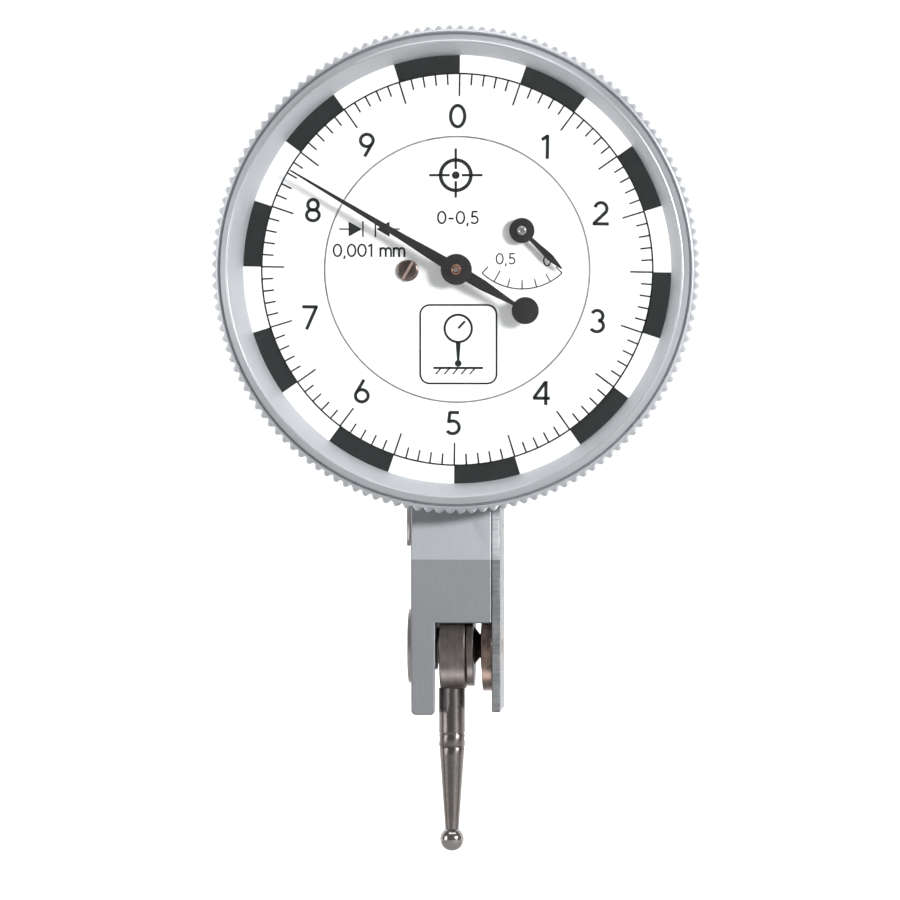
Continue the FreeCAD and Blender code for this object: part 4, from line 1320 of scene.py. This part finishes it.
@dataclass
class Stylus:
    """The tapered stem and its contact ball, which ends where its radius is the stem's tip."""

    x: float = -0.84
    height: float = 5.6
    ball: float = -47.55
    ball_rad: float = 1.0
    tip: float = 0.565
    steps: int = 72

    def build(self, shop: Workshop) -> None:
        """Make the stem and the ball.

        Args:
            shop: the workshop that makes pieces.
        """
        shop.eased_node("stylus_shank", "stylus_stem", STEM_METAL, "stylus", "dark_steel", 0.03)
        step = math.asin(math.sqrt(self.ball_rad ** 2 - self.tip ** 2) / self.ball_rad)
        lift = np.linspace(-np.pi / 2, step, 40)
        profile = np.stack([self.ball_rad * np.cos(lift),
                            self.ball + self.ball_rad * np.sin(lift)], axis=1)
        profile = np.vstack([profile, [[0.0, profile[-1, 1]]]])
        profile[0, 0] = 0.0
        shop.piece("contact_ball",
                   turned(profile, self.steps, False, upright(self.x, self.height)),
                   BALL, "stylus", ("stylus_ball",))


KEY_PLACE = (0.63, -0.60, 0.19)
KEY_SIZE = (0.24, 0.24)


@dataclass(frozen=True)
class Lamp:
    """A rectangular lamp that looks at a point, with its place, size and aim in metres."""

    name: str
    at: tuple[float, float, float]
    size: tuple[float, float]
    watts: float
    aim: tuple[float, float, float] = (0.0, -0.01, -0.01)

    def make(self) -> bpy.types.Object:
        """Hang the lamp.

        Returns:
            The lamp, which the camera doesn't see.
        """
        data = bpy.data.lights.new(self.name, "AREA")
        data.shape = "RECTANGLE"
        data.size, data.size_y = self.size
        data.energy = self.watts
        made = bpy.data.objects.new(self.name, data)
        made.visible_camera = False
        made.location = self.at
        look = Vector(self.aim) - Vector(self.at)
        made.rotation_euler = look.to_track_quat("-Z", "Y").to_euler()
        bpy.context.scene.collection.objects.link(made)
        return made


@dataclass
class Studio:
    """Camera, lights, floor and backdrop. The floor, sweep and bowl are in metres."""

    azimuth: float = 3.0
    distance: float = 600.0
    span: float = 73.77
    sensor: float = 36.0
    focus_height: float = 16.0
    aside: float = 0.46
    above: float = 14.8
    floor: float = -0.17
    bend: float = 0.35
    bend_start: float = 0.5
    half_width: float = 4.0
    bowl_steps: int = 48

    def camera(self) -> None:
        """Place a long lens level with the dial, aimed at the middle of the whole tool.

        The picture is `span` millimetres wide at the distance.
        """
        a = math.radians(self.azimuth)
        back = Vector((math.sin(a), -math.cos(a), 0.0))
        right = Vector((math.cos(a), math.sin(a), 0.0))
        target = Vector((0.0, -self.focus_height, 0.0)) - right * self.aside
        data = bpy.data.cameras.new("camera")
        data.sensor_width = self.sensor
        data.lens = self.sensor * self.distance / self.span
        data.clip_start = 0.01
        data.clip_end = 20.0
        made = bpy.data.objects.new("camera", data)
        made.location = (target + back * self.distance) * MM
        aim = -back * self.distance + Vector((0.0, 0.0, -self.above))
        made.rotation_euler = aim.to_track_quat("-Z", "Y").to_euler()
        bpy.context.scene.collection.objects.link(made)
        bpy.context.scene.camera = made

    @staticmethod
    def group(name: str, objects: Iterable[bpy.types.Object], state: str
              ) -> bpy.types.Collection:
        """A light-linking group whose members are all included or all excluded.

        Args:
            name: the group's name.
            objects: its members.
            state: INCLUDE or EXCLUDE.

        Returns:
            The group.
        """
        made = bpy.data.collections.new(name)
        for item in objects:
            made.objects.link(item)
        for link in made.collection_objects:
            link.light_linking.link_state = state
        return made

    def lamps(self) -> None:
        """Hang the lamps, most of them for their own pieces.

        The key for the dial's faces shines through the bezel, so that the rim throws no shade on
        the scale. The bezel has a weak one of its own. A small, low one makes the bezel's sharp
        shade on the body. The panel at the left spares the faces, so that the pointers' shades
        stay deep. The panel under the fork lights the hub alone.
        """
        faces = [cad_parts["dial_ring"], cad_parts["fixed_dial"]]
        faces += [bpy.data.objects[name] for name in ("outer_scale_print", "inner_face_print")]
        rim, body, hub = ([bpy.data.objects[name] for name in names] for names in (
            ("bezel_lip_ring", "knurled_band"),
            ("forked_body", "milled_side_plate", "slim_cover"),
            ("swivel_hub", "friction_carrier", "cone_nut", "flanged_bush")))
        for lamp, name, objects, state in (
                (Lamp("face_key", KEY_PLACE, KEY_SIZE, 10.6), "faces_lit", faces, "INCLUDE"),
                (Lamp("main_key", KEY_PLACE, KEY_SIZE, 8.0), "key_spared",
                 faces + rim + body, "EXCLUDE"),
                (Lamp("rim_key", KEY_PLACE, KEY_SIZE, 4.6), "rim_lit", rim, "INCLUDE"),
                (Lamp("body_key", (0.40, -0.79, 0.12), (0.07, 0.07), 10.0), "body_lit", body,
                 "INCLUDE"),
                (Lamp("left_panel", (-0.85, -0.5, -0.05), (0.5, 0.9), 4.2), "faces_spared",
                 faces, "EXCLUDE"),
                (Lamp("hub_panel", (0.0, -0.035, -0.165), (0.12, 0.05), 0.07,
                      (0.0, -0.006, -0.033)), "hub_lit", hub, "INCLUDE")):
            linking = lamp.make().light_linking
            linking.receiver_collection = self.group(name, objects, state)
            if lamp.name == "face_key":
                linking.blocker_collection = self.group("rim_passed", rim, "EXCLUDE")
        Lamp("top_panel", (0.05, -0.35, 0.8), (0.9, 0.4), 3.6).make()

    def backdrop(self) -> None:
        """A pale floor that sweeps up into a backdrop.

        The sweep is (x, y(s), z(s)): a flat run, a quarter circle and a wall.
        """
        turn = np.linspace(0, np.pi / 2, 24)
        low, start, end = self.floor, self.bend_start, self.bend_start + self.bend
        y = np.concatenate([[-6.0, -0.4], start + self.bend * np.sin(turn), [end]])
        z = np.concatenate([[low, low], low + self.bend * (1 - np.cos(turn)), [2.6]])
        x = np.array([-self.half_width, self.half_width])
        points = np.stack([np.repeat(x[None, :], len(y), 0), np.repeat(y[:, None], 2, 1),
                           np.repeat(z[:, None], 2, 1)], axis=-1)
        graph = Graph("sweep_paper")
        behind = graph.parts(graph.place())[1].above(190.0, 260.0)
        glow = graph.blend(behind, (0.0, 0.0, 0.0), (1.0, 1.0, 1.0))
        paper = graph.finish((0.5, 0.5, 0.5), 0.9, 0.0, Emission_Strength=0.95,
                             Emission_Color=glow)
        self.staged("studio_sweep", points, grid_quads(len(y), 2, False, False)[:, ::-1], paper)

    def surround(self) -> None:
        """A white bowl over the far floor that only the camera sees, so that it lights nothing.

        The bowl is a profile turned about the vertical: a ring just above the floor and a wall.
        It fades in with the radius.
        """
        low = self.floor + 0.001
        profile = np.array([[0.3, low], [1.2, low], [1.4, -0.1], [1.45, 2.4]])
        angle = np.linspace(0, 2 * np.pi, self.bowl_steps, endpoint=False)[:, None]
        radius, height = profile[None, :, 0], profile[None, :, 1]
        points = np.stack([radius * np.cos(angle), radius * np.sin(angle),
                           np.broadcast_to(height, (len(angle), len(profile)))], axis=-1)
        quads = grid_quads(len(angle), len(profile), True, False)
        graph = Graph("far_paper")
        x, y, _ = graph.parts(graph.place())
        fade = (x * x + y * y).power(0.5).above(550.0, 350.0)
        paper = graph.finish((0.0, 0.0, 0.0), 1.0, 0.0, Emission_Strength=1.0,
                             Emission_Color=(1.0, 1.0, 1.0, 1.0), Alpha=fade,
                             Specular_IOR_Level=0.0)
        made = self.staged("far_paper_bowl", points, quads, paper)
        made.visible_diffuse = made.visible_glossy = made.visible_transmission = False
        made.visible_shadow = False

    @staticmethod
    def staged(name: str, points: Array, quads: Array, paper: bpy.types.Material
               ) -> bpy.types.Object:
        """A smooth sheet of studio paper.

        Args:
            name: the sheet's name.
            points: its points in metres, x, y and z last.
            quads: its faces.
            paper: its material.

        Returns:
            The sheet.
        """
        mesh = bpy.data.meshes.new(name)
        mesh.from_pydata(points.reshape(-1, 3).tolist(), [], quads.tolist())
        mesh.shade_smooth()
        mesh.materials.append(paper)
        made = bpy.data.objects.new(name, mesh)
        bpy.context.scene.collection.objects.link(made)
        return made

    def build(self) -> None:
        """Set the stage round the finished pieces."""
        scene = bpy.context.scene
        scene.view_settings.view_transform = "Standard"
        world = bpy.data.worlds.new("studio_air")
        world.use_nodes = True
        air = world.node_tree.nodes["Background"].inputs
        air[0].default_value = (0.97, 0.98, 1.0, 1.0)
        air[1].default_value = 0.24
        scene.world = world
        self.camera()
        self.backdrop()
        self.surround()
        self.lamps()


def main() -> None:
    """Build every sub-assembly in order."""
    logging.basicConfig(level=logging.INFO, format="%(name)s: %(message)s")
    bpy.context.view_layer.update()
    shop = Workshop()
    for part in (Body(), Fork(), Stylus(), Movement(), Dial(), FaceScrew(), Bezel(), Pointers()):
        part.build(shop)
        LOG.info("%s done", type(part).__name__)
    Studio().build()


if __name__ == "__main__":
    main()
